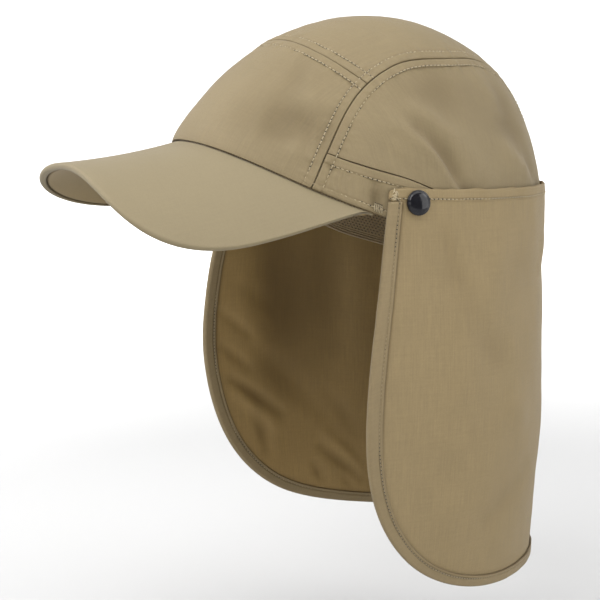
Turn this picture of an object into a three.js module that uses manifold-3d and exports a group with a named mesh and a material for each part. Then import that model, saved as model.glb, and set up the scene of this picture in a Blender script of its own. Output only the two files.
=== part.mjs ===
// Sun cap: a panelled crown, a curved peak and a long neck flap held by a snap at each side.
// Millimetres, +Z up. The peak points along -Y and the wearer's left is +X.
// The origin is the centre of the head opening.

import * as THREE from 'three';
import { mergeVertices } from 'three/addons/utils/BufferGeometryUtils.js';
import Module from 'manifold-3d';

const wasm = await Module();
wasm.setup();

// Head opening, seen from above: half lengths and the power of its rounded outline
const HEAD_FRONT = 99.6;
const HEAD_BACK = 97.3;
const HEAD_SIDE = 82.5;
const HEAD_POWER = 2.15;

// Rim line, seen from the side: it falls towards the nape and lifts over the brow
const RIM_SLOPE = 0.32;
const BROW_LIFT = 12.7;
const BROW_SPREAD = 0.75;
const BROW_POWER = 2.4;
const NAPE_DROP = 10.5;
const NAPE_FROM = 1.25;
const NAPE_TO = 2.1;

// Crown dome
const CROWN_TOP = 91.7;
const BACK_SWELL = 8.9;
const DOME_LEAN = { front: 1.06, side: 0.86, back: 1.07 };
const DOME_RISE = { front: 1.54, side: 1.02, back: 0.76 };

// Cloth, tape and the running gap between pieces
const GAP = 0.3;
const CROWN_WALL = 1.4;
const SWEATBAND_WALL = 1.5;
const SWEATBAND_HEIGHT = 28;
const SWEATBAND_CLEARANCE = 0.7;
const FLAP_WALL = 1;
const HEM_THICKNESS = 1.6;
const HEM_HEIGHT = 5.8;
const HEM_CLEARANCE = 0.85;
const TAPE_WALL = 1;
const TAPE_WIDTH = 6.2;

// Lower band of the crown: its height at its front ends and from the temples back
const BAND_FRONT_HEIGHT = 18.2;
const BAND_HEIGHT = 21;
const BAND_RISE_FROM = 0.75;
const BAND_RISE_TO = 1.3;

// Arc seam between the side panel and its neighbours, as shares of the crown seen from
// above: back is measured from the middle towards the nape, side towards the ear.
const ARC_SEAM = [
  { back: -0.78, side: 0.712 },
  { back: -0.541, side: 0.569 },
  { back: -0.328, side: 0.451 },
  { back: -0.149, side: 0.404 },
  { back: 0.089, side: 0.382 },
  { back: 0.3, side: 0.3 },
  { back: 0.5, side: 0.25 },
  { back: 0.95, side: 0.24 },
];
const ARC_SEAM_REAR_CORNER = 0.42;

// Front seam over the brow: its middle and how far its ends run back
const FRONT_SEAM_BACK = -0.334;
const FRONT_SEAM_CURVE = 0.38;

// Folds of the crown cloth, in the same shares. Width and height are shares of the head's
// half side, and height is outwards.
const CROWN_FOLDS = [
  { side: 0.6, back: -0.24, toSide: 0.84, toBack: 0.01, width: 0.073, height: 0.0182 },
  { side: 0.62, back: -0.15, toSide: 0.82, toBack: 0.08, width: 0.073, height: -0.017 },
  { side: 0.64, back: -0.05, toSide: 0.79, toBack: 0.18, width: 0.073, height: 0.0121 },
  { side: 0.64, back: 0.34, toSide: 0.64, toBack: 0.52, width: 0.073, height: 0.0133 },
  { side: 0.87, back: -0.46, toSide: 0.76, toBack: -0.4, width: 0.061, height: -0.0145 },
];
const CROWN_SPAN = 1.236;
const FOLD_END = 0.35;
const FOLD_TAPER = [0.1, 0.9];

// Peak: its flat pattern starts at corners beside the ends of its seam on the rim, a little
// further in and ahead. The bent sheet slopes so that it reaches the seam's ends a named
// drop over them. The bends of its tip are shares of the bend at the seam.
const PEAK_END_ANGLE = 1.073;
const PEAK_CORNER_IN = 0.7;
const PEAK_CORNER_AHEAD = 8.7;
const PEAK_REACH = 112.8;
const PEAK_POWER = 3.68;
const PEAK_BEND = 91.5;
const PEAK_TIP_BEND = { left: 0.96, right: 1.314 };
const PEAK_CORNER_DROP = 2.16;
const PEAK_TIP_LIFT = 6;
const PEAK_NOSE_SHARE = 0.4;
const PEAK_ROLL_SHARE = 0.7;
const PEAK_BOARD = 2;
const PEAK_UNDER_WALL = 1;
const PEAK_ROLL_WIDTH = 3.2;
const PEAK_ROLL_GAP = 0.7;
const PEAK_SEAT_INSET = 0.4;
const PEAK_SEAT_GAP = 0.5;

// Neck flap: its sewing pattern is a squared oval hung from the crown
const FLAP_LENGTH = 214;
const FLAP_HALF_ANGLE = 1.983;
const FLAP_FLARE_ANGLE = 0.288;
const FLAP_POWER = 4.26;
const FLAP_NAPE_RISE = 5;
const FLAP_TOP_FRONT = 13.4;
const FLAP_TOP_FALL = 10.6;
const FLAP_FREE_DEPTH = 68;
const FLAP_RELEASE = 25;
const FLAP_SECTION_POWER = 1.83;

// Level sections of the hanging flap: drop is a share of its length, the rest are shares
// of the head's half side, half back and half front
const FLAP_SECTIONS = [
  { drop: 0, side: 1.042, back: 1.048, front: 2.4 },
  { drop: 0.5, side: 1.078, back: 1.122, front: 2.65 },
  { drop: 1, side: 0.944, back: 1.092, front: 2.9 },
];

// Folds of the flap: around is a share of its half angle (left is positive), and drop,
// width and height are shares of its length (height is outwards)
const FLAP_FOLDS = [
  { around: -0.9, drop: 0.52, toAround: -0.62, toDrop: 0.72, width: 0.0374, height: 0.0093 },
  { around: -0.95, drop: 0.34, toAround: -0.8, toDrop: 0.42, width: 0.028, height: 0.0056 },
  { around: -0.5, drop: 0.86, toAround: -0.34, toDrop: 0.96, width: 0.028, height: 0.0075 },
  { around: 0.72, drop: 0.1, toAround: 0.8, toDrop: 0.55, width: 0.056, height: 0.0056 },
  { around: 0.3, drop: 0.12, toAround: 0.22, toDrop: 0.5, width: 0.0654, height: -0.007 },
  { around: -0.25, drop: 0.2, toAround: -0.3, toDrop: 0.7, width: 0.0654, height: 0.007 },
];
const FLAP_FOLD_START = 0.187;

// Snaps: place from the flap's front corner, then the cap, its post and the mating stud
const SNAP_BACK = 12.8;
const SNAP_DROP = 6.6;
const SNAP_RADIUS = 6;
const SNAP_DOME = 3;
const SNAP_LIP = 1.3;
const SNAP_BEVEL = 0.3;
const SNAP_HOLD_FROM = 0.25;
const SNAP_HOLD_TO = 1.1;
const SNAP_POST_RADIUS = 1.7;
const STUD_RADIUS = 5;
const STUD_THICKNESS = 1.3;
const STUD_CLEARANCE = 0.45;
const POST_INSET = 0.1;
const SNAP_SIDES = 20;

// Fastener strip that holds the flap to the crown at the nape
const FASTENER_HALF_WIDTH = 20;
const FASTENER_DROP = 21;
const FASTENER_HEIGHT = 12;
const FASTENER_GRID = { across: 8, down: 2 };

// Facets
const BAND_ROWS = 3;
const SIDE_ROWS = 8;
const SIDE_COLUMNS = 18;
const STRIP_COLUMNS = 10;
const PEAK_STEPS = 9;
const PEAK_ROWS = 5;
const PEAK_UNDER_ROWS = 3;
const PEAK_STEP = 0.5;
const SWEATBAND_STEPS = 56;
const FLAP_GRID = { across: 40, down: 16 };
const DERIVATIVE_STEP = 0.004;
const MERGE_DISTANCE = 0.0005;
const HALVINGS = 40;
const RIM_BELOW = 2.5;
const RIM_ABOVE = 0.7;
const SEAM_SHARE = 0.6;
const RIM_CORNER_SEARCH = [-0.78, -0.6];
const FRONT_CORNER_SEARCH = [-0.5, -0.1];
const NAPE_CORNER_SEARCH = [0.5, 0.95];

const mix = THREE.MathUtils.lerp;
const clamp = THREE.MathUtils.clamp;

function smooth(from, to, x) {
  const t = clamp((x - from) / (to - from), 0, 1);
  return t * t * (3 - 2 * t);
}

// Smooth curve through one column of a table, against another column
function tableValue(rows, key, column, x) {
  let i = 0;
  while (i < rows.length - 2 && x > rows[i + 1][key]) i += 1;
  const slope = (a, b) => (rows[b][column] - rows[a][column]) / (rows[b][key] - rows[a][key]);
  const span = rows[i + 1][key] - rows[i][key];
  const t = (x - rows[i][key]) / span;
  const m0 = span * slope(Math.max(i - 1, 0), i + 1);
  const m1 = span * slope(i, Math.min(i + 2, rows.length - 1));
  const a = rows[i][column];
  const b = rows[i + 1][column];
  return a + t * (m0 + t * (3 * (b - a) - 2 * m0 - m1 + t * (2 * (a - b) + m0 + m1)));
}

// Argument between low and high at which a rising function reaches a value
function solve(rising, value, low, high) {
  let a = low;
  let b = high;
  for (let i = 0; i < HALVINGS; i += 1) {
    const middle = (a + b) / 2;
    if (rising(middle) < value) a = middle;
    else b = middle;
  }
  return (a + b) / 2;
}

function normalOf(surface, u, v) {
  const d = DERIVATIVE_STEP;
  const alongU = surface(u + d, v).sub(surface(u - d, v));
  const alongV = surface(u, v + d).sub(surface(u, v - d));
  return alongU.cross(alongV).normalize();
}

// Height that a table of folds adds at a place: scaleU and scaleV turn the place's shares
// into lengths, and size does so for the folds' widths and heights
function foldHeight(folds, u, v, scaleU, scaleV, size, read) {
  let sum = 0;
  for (const fold of folds) {
    const [u0, v0, u1, v1] = read(fold);
    const du = (u1 - u0) * scaleU;
    const dv = (v1 - v0) * scaleV;
    const pu = (u - u0) * scaleU;
    const pv = (v - v0) * scaleV;
    const along = clamp((pu * du + pv * dv) / (du * du + dv * dv), 0, 1);
    const distance = Math.hypot(pu - along * du, pv - along * dv);
    const taper = mix(FOLD_END, 1, Math.sin(Math.PI * clamp(along, ...FOLD_TAPER)));
    sum += fold.height * size * taper * Math.exp(-((distance / (fold.width * size)) ** 2));
  }
  return sum;
}

// Rim of the crown at an angle from the brow, left positive
function rimPoint(angle) {
  const c = Math.cos(angle);
  const s = Math.sin(angle);
  const reach = c > 0 ? HEAD_FRONT : HEAD_BACK;
  const sum = Math.abs(s / HEAD_SIDE) ** HEAD_POWER + Math.abs(c / reach) ** HEAD_POWER;
  const radius = sum ** (-1 / HEAD_POWER);
  const turn = Math.abs(angle);
  const brow = BROW_LIFT * (1 - Math.exp(-((turn / BROW_SPREAD) ** BROW_POWER)));
  const nape = NAPE_DROP * smooth(NAPE_FROM, NAPE_TO, turn);
  const y = -radius * c;
  return new THREE.Vector3(radius * s, y, -RIM_SLOPE * y - brow - nape);
}

// Crown's dome for shares of its plan: side towards the ear, back towards the nape, and
// the rim at one. Past the rim it runs straight down.
function domePoint(side, back) {
  const share = Math.hypot(side, back);
  const angle = Math.atan2(side, -back);
  const climb = ((1 - Math.min(share, 1)) * Math.PI) / 2;
  const rim = rimPoint(angle);
  const front = (1 + Math.cos(angle)) / 2;
  const flank = Math.sin(angle) ** 2;
  const blend = (d) => mix(d.back, d.front, front) + (d.side - (d.front + d.back) / 2) * flank;
  const inwards = Math.cos(climb) ** blend(DOME_LEAN);
  const upwards = Math.sin(climb) ** blend(DOME_RISE);
  const swell = BACK_SWELL * Math.sin(2 * climb) * (1 - front);
  const past = Math.max(share - 1, 0) * CROWN_TOP;
  const z = rim.z + (CROWN_TOP - rim.z) * upwards - past;
  return new THREE.Vector3(rim.x * inwards, rim.y * inwards + swell, z);
}

function crownFold(side, back) {
  const read = (f) => [f.side, f.back, f.toSide, f.toBack];
  const reach = HEAD_SIDE * CROWN_SPAN;
  return foldHeight(CROWN_FOLDS, Math.abs(side), back, reach, reach, HEAD_SIDE, read);
}

// Outer face of the crown cloth with its folds, moved outwards by lift
function crownPoint(side, back, lift = 0) {
  const normal = normalOf(domePoint, side, back);
  return domePoint(side, back).addScaledVector(normal, crownFold(side, back) + lift);
}

// Shares on the crown at a height, at an angle from the brow
function crownShares(angle, height) {
  const at = (inwards) => domePoint((1 - inwards) * Math.sin(angle), -(1 - inwards) * Math.cos(angle));
  const inwards = solve((x) => at(x).z, height, -RIM_BELOW, RIM_ABOVE);
  return [(1 - inwards) * Math.sin(angle), -(1 - inwards) * Math.cos(angle)];
}

const arcSeam = (back) => [tableValue(ARC_SEAM, 'back', 'side', back), back];
const frontSeam = (side) => [side, FRONT_SEAM_BACK + FRONT_SEAM_CURVE * side * side];
const angleOf = ([side, back]) => Math.atan2(side, -back);
const mirrored = ([side, back]) => [-side, back];

function bandHeight(angle) {
  return mix(BAND_FRONT_HEIGHT, BAND_HEIGHT, smooth(BAND_RISE_FROM, BAND_RISE_TO, Math.abs(angle)));
}

function bandLine(angle) {
  return crownShares(angle, rimPoint(angle).z + bandHeight(angle));
}

// Corners where the seams meet, as places along the arc seam
const RIM_CORNER = solve((back) => -Math.hypot(...arcSeam(back)), -1, ...RIM_CORNER_SEARCH);
const FRONT_CORNER = solve((back) => back - frontSeam(arcSeam(back)[0])[1], 0, ...FRONT_CORNER_SEARCH);
const heightOverBand = (back) => {
  const place = arcSeam(back);
  const angle = angleOf(place);
  return domePoint(...place).z - rimPoint(angle).z - bandHeight(angle);
};
const BAND_CORNER = solve(heightOverBand, 0, RIM_CORNER, FRONT_CORNER);
const NAPE_CORNER = solve((back) => -heightOverBand(back), 0, ...NAPE_CORNER_SEARCH);

// Patch between four boundary curves: bottom and top run along s, left and right along t
function patch(bottom, top, left, right) {
  const corners = [bottom(0), bottom(1), top(0), top(1)];
  return (s, t) => {
    const sides = [bottom(s), top(s), left(t), right(t)];
    return [0, 1].map((k) => {
      const ruled = mix(sides[0][k], sides[1][k], t) + mix(sides[2][k], sides[3][k], s);
      const low = mix(corners[0][k], corners[1][k], s);
      const high = mix(corners[2][k], corners[3][k], s);
      return ruled - mix(low, high, t);
    });
  };
}

// Value on the way through a list of stops with so many even steps between them, so that
// panels on both sides of a seam have their corners at the same places
function through(stops, steps, t) {
  let left = t * steps.reduce((sum, n) => sum + n, 0);
  let k = 0;
  while (k < steps.length - 1 && left > steps[k]) {
    left -= steps[k];
    k += 1;
  }
  return mix(stops[k], stops[k + 1], left / steps[k]);
}

const seamRun = (stops, steps) => (t) => arcSeam(through(stops, steps, t));
const mirroredRun = (stops, steps) => (t) => mirrored(arcSeam(through(stops, steps, t)));
const FRONT_STOPS = [[RIM_CORNER, BAND_CORNER, FRONT_CORNER], [BAND_ROWS, SIDE_ROWS]];
const TOP_STOPS = [[FRONT_CORNER, ARC_SEAM_REAR_CORNER, NAPE_CORNER], [SIDE_COLUMNS, SIDE_ROWS]];

const rimAngle = angleOf(arcSeam(RIM_CORNER));
const bandAngle = angleOf(arcSeam(BAND_CORNER));
const napeAngle = angleOf(arcSeam(NAPE_CORNER));
const frontCornerSide = arcSeam(FRONT_CORNER)[0];
const onRim = (angle) => [Math.sin(angle), -Math.cos(angle)];

const frontPatch = patch(
  (s) => onRim(mix(-rimAngle, rimAngle, s)),
  (s) => frontSeam(mix(-frontCornerSide, frontCornerSide, s)),
  mirroredRun(...FRONT_STOPS),
  seamRun(...FRONT_STOPS),
);
const topPatch = patch(
  (s) => frontSeam(mix(-frontCornerSide, frontCornerSide, s)),
  (s) => bandLine(Math.PI + mix(Math.PI - napeAngle, napeAngle - Math.PI, s)),
  mirroredRun(...TOP_STOPS),
  seamRun(...TOP_STOPS),
);
const sidePatch = patch(
  (s) => bandLine(mix(bandAngle, napeAngle, s)),
  seamRun([FRONT_CORNER, ARC_SEAM_REAR_CORNER], [SIDE_COLUMNS]),
  seamRun([BAND_CORNER, FRONT_CORNER], [SIDE_ROWS]),
  seamRun([NAPE_CORNER, ARC_SEAM_REAR_CORNER], [SIDE_ROWS]),
);

// Angle round the nape from the right front end of the band to the left one
const NAPE_STEPS = [SIDE_COLUMNS, STRIP_COLUMNS, SIDE_COLUMNS];
function roundNape(front, s) {
  const angle = through([2 * Math.PI - front, 2 * Math.PI - napeAngle, napeAngle, front], NAPE_STEPS, s);
  return angle > Math.PI ? angle - 2 * Math.PI : angle;
}
const bandPatch = patch(
  (s) => onRim(roundNape(rimAngle, s)),
  (s) => bandLine(roundNape(bandAngle, s)),
  mirroredRun([RIM_CORNER, BAND_CORNER], [BAND_ROWS]),
  seamRun([RIM_CORNER, BAND_CORNER], [BAND_ROWS]),
);

// Closed body from lists of points and faces: doubles merged, slivers dropped, faces out
function closedBody(points, faces) {
  const raw = new THREE.BufferGeometry();
  raw.setAttribute('position', new THREE.Float32BufferAttribute(points.flatMap((p) => [p.x, p.y, p.z]), 3));
  raw.setIndex(faces.flat());
  const merged = mergeVertices(raw, MERGE_DISTANCE);
  const index = Array.from(merged.index.array);
  const position = merged.getAttribute('position');
  const kept = [];
  let volume = 0;
  for (let i = 0; i < index.length; i += 3) {
    const [a, b, c] = index.slice(i, i + 3);
    if (a === b || b === c || c === a) continue;
    kept.push([a, b, c]);
    const corner = (k) => new THREE.Vector3().fromBufferAttribute(position, k);
    volume += corner(a).dot(corner(b).cross(corner(c)));
  }
  const outwards = volume > 0 ? kept : kept.map(([a, b, c]) => [a, c, b]);
  merged.setIndex(outwards.flat());
  return merged;
}

// Sheet with two faces and an edge, from a function of column, row and face (1 out, -1 in)
function sheet(columns, rows, place) {
  const points = [];
  const width = columns + 1;
  const layer = width * (rows + 1);
  for (const face of [1, -1]) {
    for (let j = 0; j <= rows; j += 1) {
      for (let i = 0; i <= columns; i += 1) points.push(place(i, j, face));
    }
  }
  const faces = [];
  const quad = (a, b, c, d) => faces.push([a, b, c], [a, c, d]);
  for (let j = 0; j < rows; j += 1) {
    for (let i = 0; i < columns; i += 1) {
      const a = j * width + i;
      quad(a, a + 1, a + 1 + width, a + width);
      quad(layer + a, layer + a + width, layer + a + 1 + width, layer + a + 1);
    }
  }
  for (let i = 0; i < columns; i += 1) {
    const last = rows * width + i;
    quad(i, i + layer, i + 1 + layer, i + 1);
    quad(last, last + 1, last + 1 + layer, last + layer);
  }
  for (let j = 0; j < rows; j += 1) {
    const a = j * width;
    const b = a + columns;
    quad(a, a + width, a + width + layer, a + layer);
    quad(b, b + layer, b + width + layer, b + width);
  }
  return closedBody(points, faces);
}

// Bar swept through a list of sections, each a list of points; the ends are capped or joined
function sweep(sections, joined) {
  const count = sections[0].length;
  const points = sections.flat();
  const faces = [];
  const last = joined ? sections.length : sections.length - 1;
  for (let k = 0; k < last; k += 1) {
    const here = k * count;
    const next = ((k + 1) % sections.length) * count;
    for (let i = 0; i < count; i += 1) {
      const j = (i + 1) % count;
      faces.push([here + i, next + i, next + j], [here + i, next + j, here + j]);
    }
  }
  if (!joined) {
    const caps = capFaces(sections[0]);
    const end = (sections.length - 1) * count;
    caps.forEach(([a, b, c]) => {
      faces.push([a, b, c]);
      faces.push([end + a, end + c, end + b]);
    });
  }
  return closedBody(points, faces);
}

// Triangles that fill a nearly flat section, in the section's own winding
function capFaces(section) {
  const centre = section.reduce((sum, p) => sum.add(p), new THREE.Vector3()).divideScalar(section.length);
  const across = section[1].clone().sub(section[0]).normalize();
  const normal = new THREE.Vector3();
  section.forEach((p, i) => {
    const q = section[(i + 1) % section.length];
    normal.add(p.clone().sub(centre).cross(q.clone().sub(centre)));
  });
  normal.normalize();
  across.addScaledVector(normal, -across.dot(normal)).normalize();
  const up = normal.clone().cross(across);
  const flat = section.map((p) => {
    const d = p.clone().sub(centre);
    return new THREE.Vector2(d.dot(across), d.dot(up));
  });
  return THREE.ShapeUtils.triangulateShape(flat, []);
}

function solidOf(geometry) {
  const bare = geometry.clone();
  bare.deleteAttribute('normal');
  bare.deleteAttribute('uv');
  const merged = mergeVertices(bare, MERGE_DISTANCE);
  const vertProperties = new Float32Array(merged.getAttribute('position').array);
  const triVerts = new Uint32Array(merged.index.array);
  return new wasm.Manifold(new wasm.Mesh({ numProp: 3, vertProperties, triVerts }));
}

function geometryOf(solid) {
  const mesh = solid.getMesh();
  const geometry = new THREE.BufferGeometry();
  geometry.setAttribute('position', new THREE.Float32BufferAttribute(mesh.vertProperties, 3));
  geometry.setIndex(Array.from(mesh.triVerts));
  return geometry;
}

// Crown panel: a patch of the dome, drawn in by half a gap at each seam it has
function panel(surface, columns, rows, seams, sign = 1) {
  const place = (i, j, face) => {
    const s = mix(seams.ends, 1 - seams.ends, i / columns);
    const t = mix(seams.bottom, 1 - seams.top, j / rows);
    const [side, back] = surface(s, t);
    return crownPoint(sign * side, back, face > 0 ? 0 : -CROWN_WALL);
  };
  return sheet(columns, rows, place);
}

function crownPanels() {
  const share = (width) => (SEAM_SHARE * GAP) / width;
  const wide = share(HEAD_SIDE);
  const low = share(BAND_HEIGHT);
  const open = { ends: wide, bottom: wide, top: wide };
  const round = share(Math.PI * (HEAD_SIDE + HEAD_BACK));
  const roundColumns = 2 * SIDE_COLUMNS + STRIP_COLUMNS;
  return {
    front_panel: panel(frontPatch, STRIP_COLUMNS, BAND_ROWS + SIDE_ROWS, { ...open, bottom: 0 }),
    top_panel: panel(topPatch, STRIP_COLUMNS, SIDE_COLUMNS + SIDE_ROWS, open),
    side_panel_left: panel(sidePatch, SIDE_COLUMNS, SIDE_ROWS, open),
    side_panel_right: panel(sidePatch, SIDE_COLUMNS, SIDE_ROWS, open, -1),
    lower_band: panel(bandPatch, roundColumns, BAND_ROWS, { ends: round, bottom: 0, top: low }),
  };
}

// Knitted band inside the head opening, a closed loop just inside the crown cloth
function sweatband() {
  const outer = -(CROWN_WALL + SWEATBAND_CLEARANCE);
  const inner = outer - SWEATBAND_WALL;
  const levels = [0, 0.33, 0.67, 1];
  const sections = [];
  for (let k = 0; k < SWEATBAND_STEPS; k += 1) {
    const angle = -Math.PI + (2 * Math.PI * k) / SWEATBAND_STEPS;
    const shares = levels.map((level) => crownShares(angle, rimPoint(angle).z + level * SWEATBAND_HEIGHT));
    const outside = shares.map((place) => crownPoint(...place, outer));
    const inside = shares.map((place) => crownPoint(...place, inner));
    sections.push([...outside, ...inside.reverse()]);
  }
  return sweep(sections, true);
}

// Edge of the crown that the peak is sewn to, just inside the rim, and its flat width there
const SEAM_SCALE = 1 - PEAK_SEAT_INSET / HEAD_SIDE;
const seamAt = (angle) => rimPoint(angle).multiply(new THREE.Vector3(SEAM_SCALE, SEAM_SCALE, 1));
const flatWidth = (x) => PEAK_BEND * Math.asin(clamp(x / PEAK_BEND, -1, 1));
const peakEnd = seamAt(PEAK_END_ANGLE);
const PEAK_HALF_WIDTH = flatWidth(peakEnd.x) - PEAK_CORNER_IN;
const PEAK_CORNER_BACK = PEAK_CORNER_AHEAD - peakEnd.y;
const peakSag = PEAK_BEND * (1 - Math.cos(flatWidth(peakEnd.x) / PEAK_BEND));
const peakFall = peakEnd.z - rimPoint(0).z + peakSag + PEAK_CORNER_DROP;
const PEAK_SLOPE = peakFall / (peakEnd.y + HEAD_FRONT);

// Peak sheet: flat across and along, then bent round a lengthwise axis
function bentPeak(across, y) {
  const forward = clamp((-y - HEAD_FRONT) / (PEAK_CORNER_BACK + PEAK_REACH - HEAD_FRONT), 0, 1);
  const tipBend = across > 0 ? PEAK_TIP_BEND.left : PEAK_TIP_BEND.right;
  const bend = PEAK_BEND * mix(1, tipBend, forward);
  const fall = PEAK_SLOPE * (y + HEAD_FRONT) + PEAK_TIP_LIFT * forward * forward;
  const z = rimPoint(0).z + fall - bend * (1 - Math.cos(across / bend));
  return new THREE.Vector3(bend * Math.sin(across / bend), y, z);
}

const PEAK_HALF_STEP = 0.5 ** (1 / PEAK_POWER);
const squareOval = (share, power) => (1 - Math.min(Math.abs(share), 1) ** power) ** (1 / power);

// Outline of the flat peak: turn is -1 at the right corner, 0 at the tip and 1 at the left
function peakOutline(turn) {
  const size = Math.abs(turn);
  const onTip = size < 0.5;
  const wide = onTip ? size * 2 * PEAK_HALF_STEP : squareOval((1 - size) * 2 * PEAK_HALF_STEP, PEAK_POWER);
  const long = onTip ? squareOval(wide, PEAK_POWER) : (1 - size) * 2 * PEAK_HALF_STEP;
  return [Math.sign(turn) * wide * PEAK_HALF_WIDTH, -PEAK_CORNER_BACK - long * PEAK_REACH];
}

// Place on the flat peak: out is 0 under the crown's rim and 1 at the outer edge
function peakPattern(turn, out) {
  const seam = seamAt(turn * PEAK_END_ANGLE);
  const [across, y] = peakOutline(turn);
  return [mix(flatWidth(seam.x), across, out), mix(seam.y, y, out)];
}

function peakPoint(turn, out) {
  const point = bentPeak(...peakPattern(turn, out));
  const seat = seamAt(turn * PEAK_END_ANGLE).z - PEAK_SEAT_GAP - bentPeak(...peakPattern(turn, 0)).z;
  point.z += seat * (1 - out) ** 2;
  return point;
}

// Peak at a height over its top face, squarely off the bent sheet
function peakAt(turn, out, lift) {
  const [across, y] = peakPattern(turn, out);
  const aside = bentPeak(across + PEAK_STEP, y).sub(bentPeak(across - PEAK_STEP, y));
  const ahead = bentPeak(across, y + PEAK_STEP).sub(bentPeak(across, y - PEAK_STEP));
  return peakPoint(turn, out).addScaledVector(aside.cross(ahead).normalize(), lift);
}

const peakTurns = [];
for (let k = -2 * PEAK_STEPS; k <= 2 * PEAK_STEPS; k += 1) peakTurns.push(k / (2 * PEAK_STEPS));

const peakDepth = (turn) => peakPoint(turn, 1).distanceTo(peakPoint(turn, 0));
const PEAK_THICKNESS = PEAK_BOARD + GAP + PEAK_UNDER_WALL;

// Upper cloth and board, with the edge rolled under the outer rim
function peak() {
  const sections = peakTurns.map((turn) => {
    const depth = peakDepth(turn);
    const nose = Math.min(PEAK_THICKNESS / 2, depth * PEAK_NOSE_SHARE);
    const roll = Math.min(PEAK_ROLL_WIDTH, depth * PEAK_ROLL_SHARE);
    const at = (fromEdge, lift) => peakAt(turn, 1 - fromEdge / depth, lift);
    const section = [];
    for (let j = 0; j < PEAK_ROWS; j += 1) section.push(at(mix(depth, nose, j / (PEAK_ROWS - 1)), 0));
    section.push(at(nose * 0.3, -nose * 0.4));
    section.push(at(0, -nose));
    section.push(at(nose * 0.3, -nose * 1.6));
    section.push(at(nose, -PEAK_THICKNESS));
    section.push(at(roll, -PEAK_THICKNESS));
    for (let j = PEAK_UNDER_ROWS; j >= 0; j -= 1) {
      section.push(at(mix(depth, roll, j / PEAK_UNDER_ROWS), -PEAK_BOARD));
    }
    return section;
  });
  return sweep(sections, false);
}

// Under cloth of the peak, from the seam at the crown to the rolled edge
function peakUnderside() {
  const turns = peakTurns.slice(1, -1).reverse();
  const place = (i, j, face) => {
    const turn = turns[i];
    const depth = peakDepth(turn);
    const reach = 1 - (PEAK_ROLL_WIDTH + PEAK_ROLL_GAP) / depth;
    const lift = face > 0 ? -(PEAK_BOARD + GAP) : -PEAK_THICKNESS;
    return peakAt(turn, mix(0, Math.max(reach, 0.1), j / PEAK_UNDER_ROWS), lift);
  };
  return sheet(turns.length - 1, PEAK_UNDER_ROWS, place);
}

// Flap: angle is measured round the nape, left positive, and depth down from its top edge
const FLAP_TOP_ANGLE = Math.PI - FLAP_HALF_ANGLE;

function flapTop(angle) {
  const share = (Math.PI - Math.abs(angle) - FLAP_TOP_ANGLE) / FLAP_HALF_ANGLE;
  return FLAP_TOP_FRONT - FLAP_TOP_FALL * share;
}

const SNAP_STANDOFF = GAP + STUD_THICKNESS + STUD_CLEARANCE + HEM_THICKNESS / 2;
const NAPE_STANDOFF = HEM_CLEARANCE + HEM_THICKNESS / 2;
const SNAP_ANGLE = FLAP_HALF_ANGLE - SNAP_BACK / HEAD_SIDE;

function sectionValue(column, depth) {
  return tableValue(FLAP_SECTIONS, 'drop', column, depth / FLAP_LENGTH);
}

function flapRadius(angle, depth) {
  const brow = Math.PI - angle;
  const shares = crownShares(brow, flapTop(angle) - depth);
  const crown = domePoint(...shares);
  const nearSnap = 1 - smooth(SNAP_HOLD_FROM, SNAP_HOLD_TO, SNAP_ANGLE - Math.abs(angle));
  const standoff = mix(NAPE_STANDOFF, SNAP_STANDOFF, nearSnap) + Math.max(crownFold(...shares), 0);
  const held = Math.hypot(crown.x, crown.y) + standoff;
  const c = Math.cos(angle);
  const s = Math.sin(angle);
  const side = HEAD_SIDE * sectionValue('side', depth);
  const reach = c < 0 ? HEAD_FRONT * sectionValue('front', depth) : HEAD_BACK * sectionValue('back', depth);
  const sum = Math.abs(s / side) ** FLAP_SECTION_POWER + Math.abs(c / reach) ** FLAP_SECTION_POWER;
  const hanging = mix(held, sum ** (-1 / FLAP_SECTION_POWER), smooth(0, FLAP_FREE_DEPTH, depth));
  const belowRim = rimPoint(brow).z - flapTop(angle) + depth;
  return Math.max(hanging, held - FLAP_RELEASE * smooth(0, FLAP_FREE_DEPTH, belowRim));
}

function flapSheet(angle, depth) {
  const radius = flapRadius(angle, depth);
  return new THREE.Vector3(radius * Math.sin(angle), radius * Math.cos(angle), flapTop(angle) - depth);
}

// Middle of the flap cloth with its folds, moved outwards by lift
function flapPoint(angle, depth, lift = 0) {
  const read = (f) => [f.around, f.drop, f.toAround, f.toDrop];
  const share = angle / FLAP_HALF_ANGLE;
  const drop = depth / FLAP_LENGTH;
  const free = smooth(HEM_HEIGHT, HEM_HEIGHT + FLAP_FOLD_START * FLAP_LENGTH, depth);
  const width = FLAP_HALF_ANGLE * HEAD_SIDE;
  const folds = free * foldHeight(FLAP_FOLDS, share, drop, width, FLAP_LENGTH, FLAP_LENGTH, read);
  const surface = (a, b) => flapSheet(a, b * FLAP_LENGTH);
  const normal = normalOf(surface, angle, drop);
  return flapSheet(angle, depth).addScaledVector(normal, folds + lift);
}

const FLAP_HALF_STEP = 0.5 ** (1 / FLAP_POWER);
const flapOval = (share) => squareOval(share * FLAP_HALF_STEP, FLAP_POWER);

// Place on the flap's pattern: wide and long are shares of the squared oval, and inset
// draws its edge in
function flapPlace(wide, long, inset) {
  const angle = wide * (FLAP_HALF_ANGLE - inset / HEAD_SIDE + FLAP_FLARE_ANGLE * long);
  const depth = long * (FLAP_LENGTH - inset - FLAP_NAPE_RISE * (1 - Math.abs(wide)));
  return [angle, depth];
}

const FLAP_INSET = TAPE_WALL + GAP;

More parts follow.
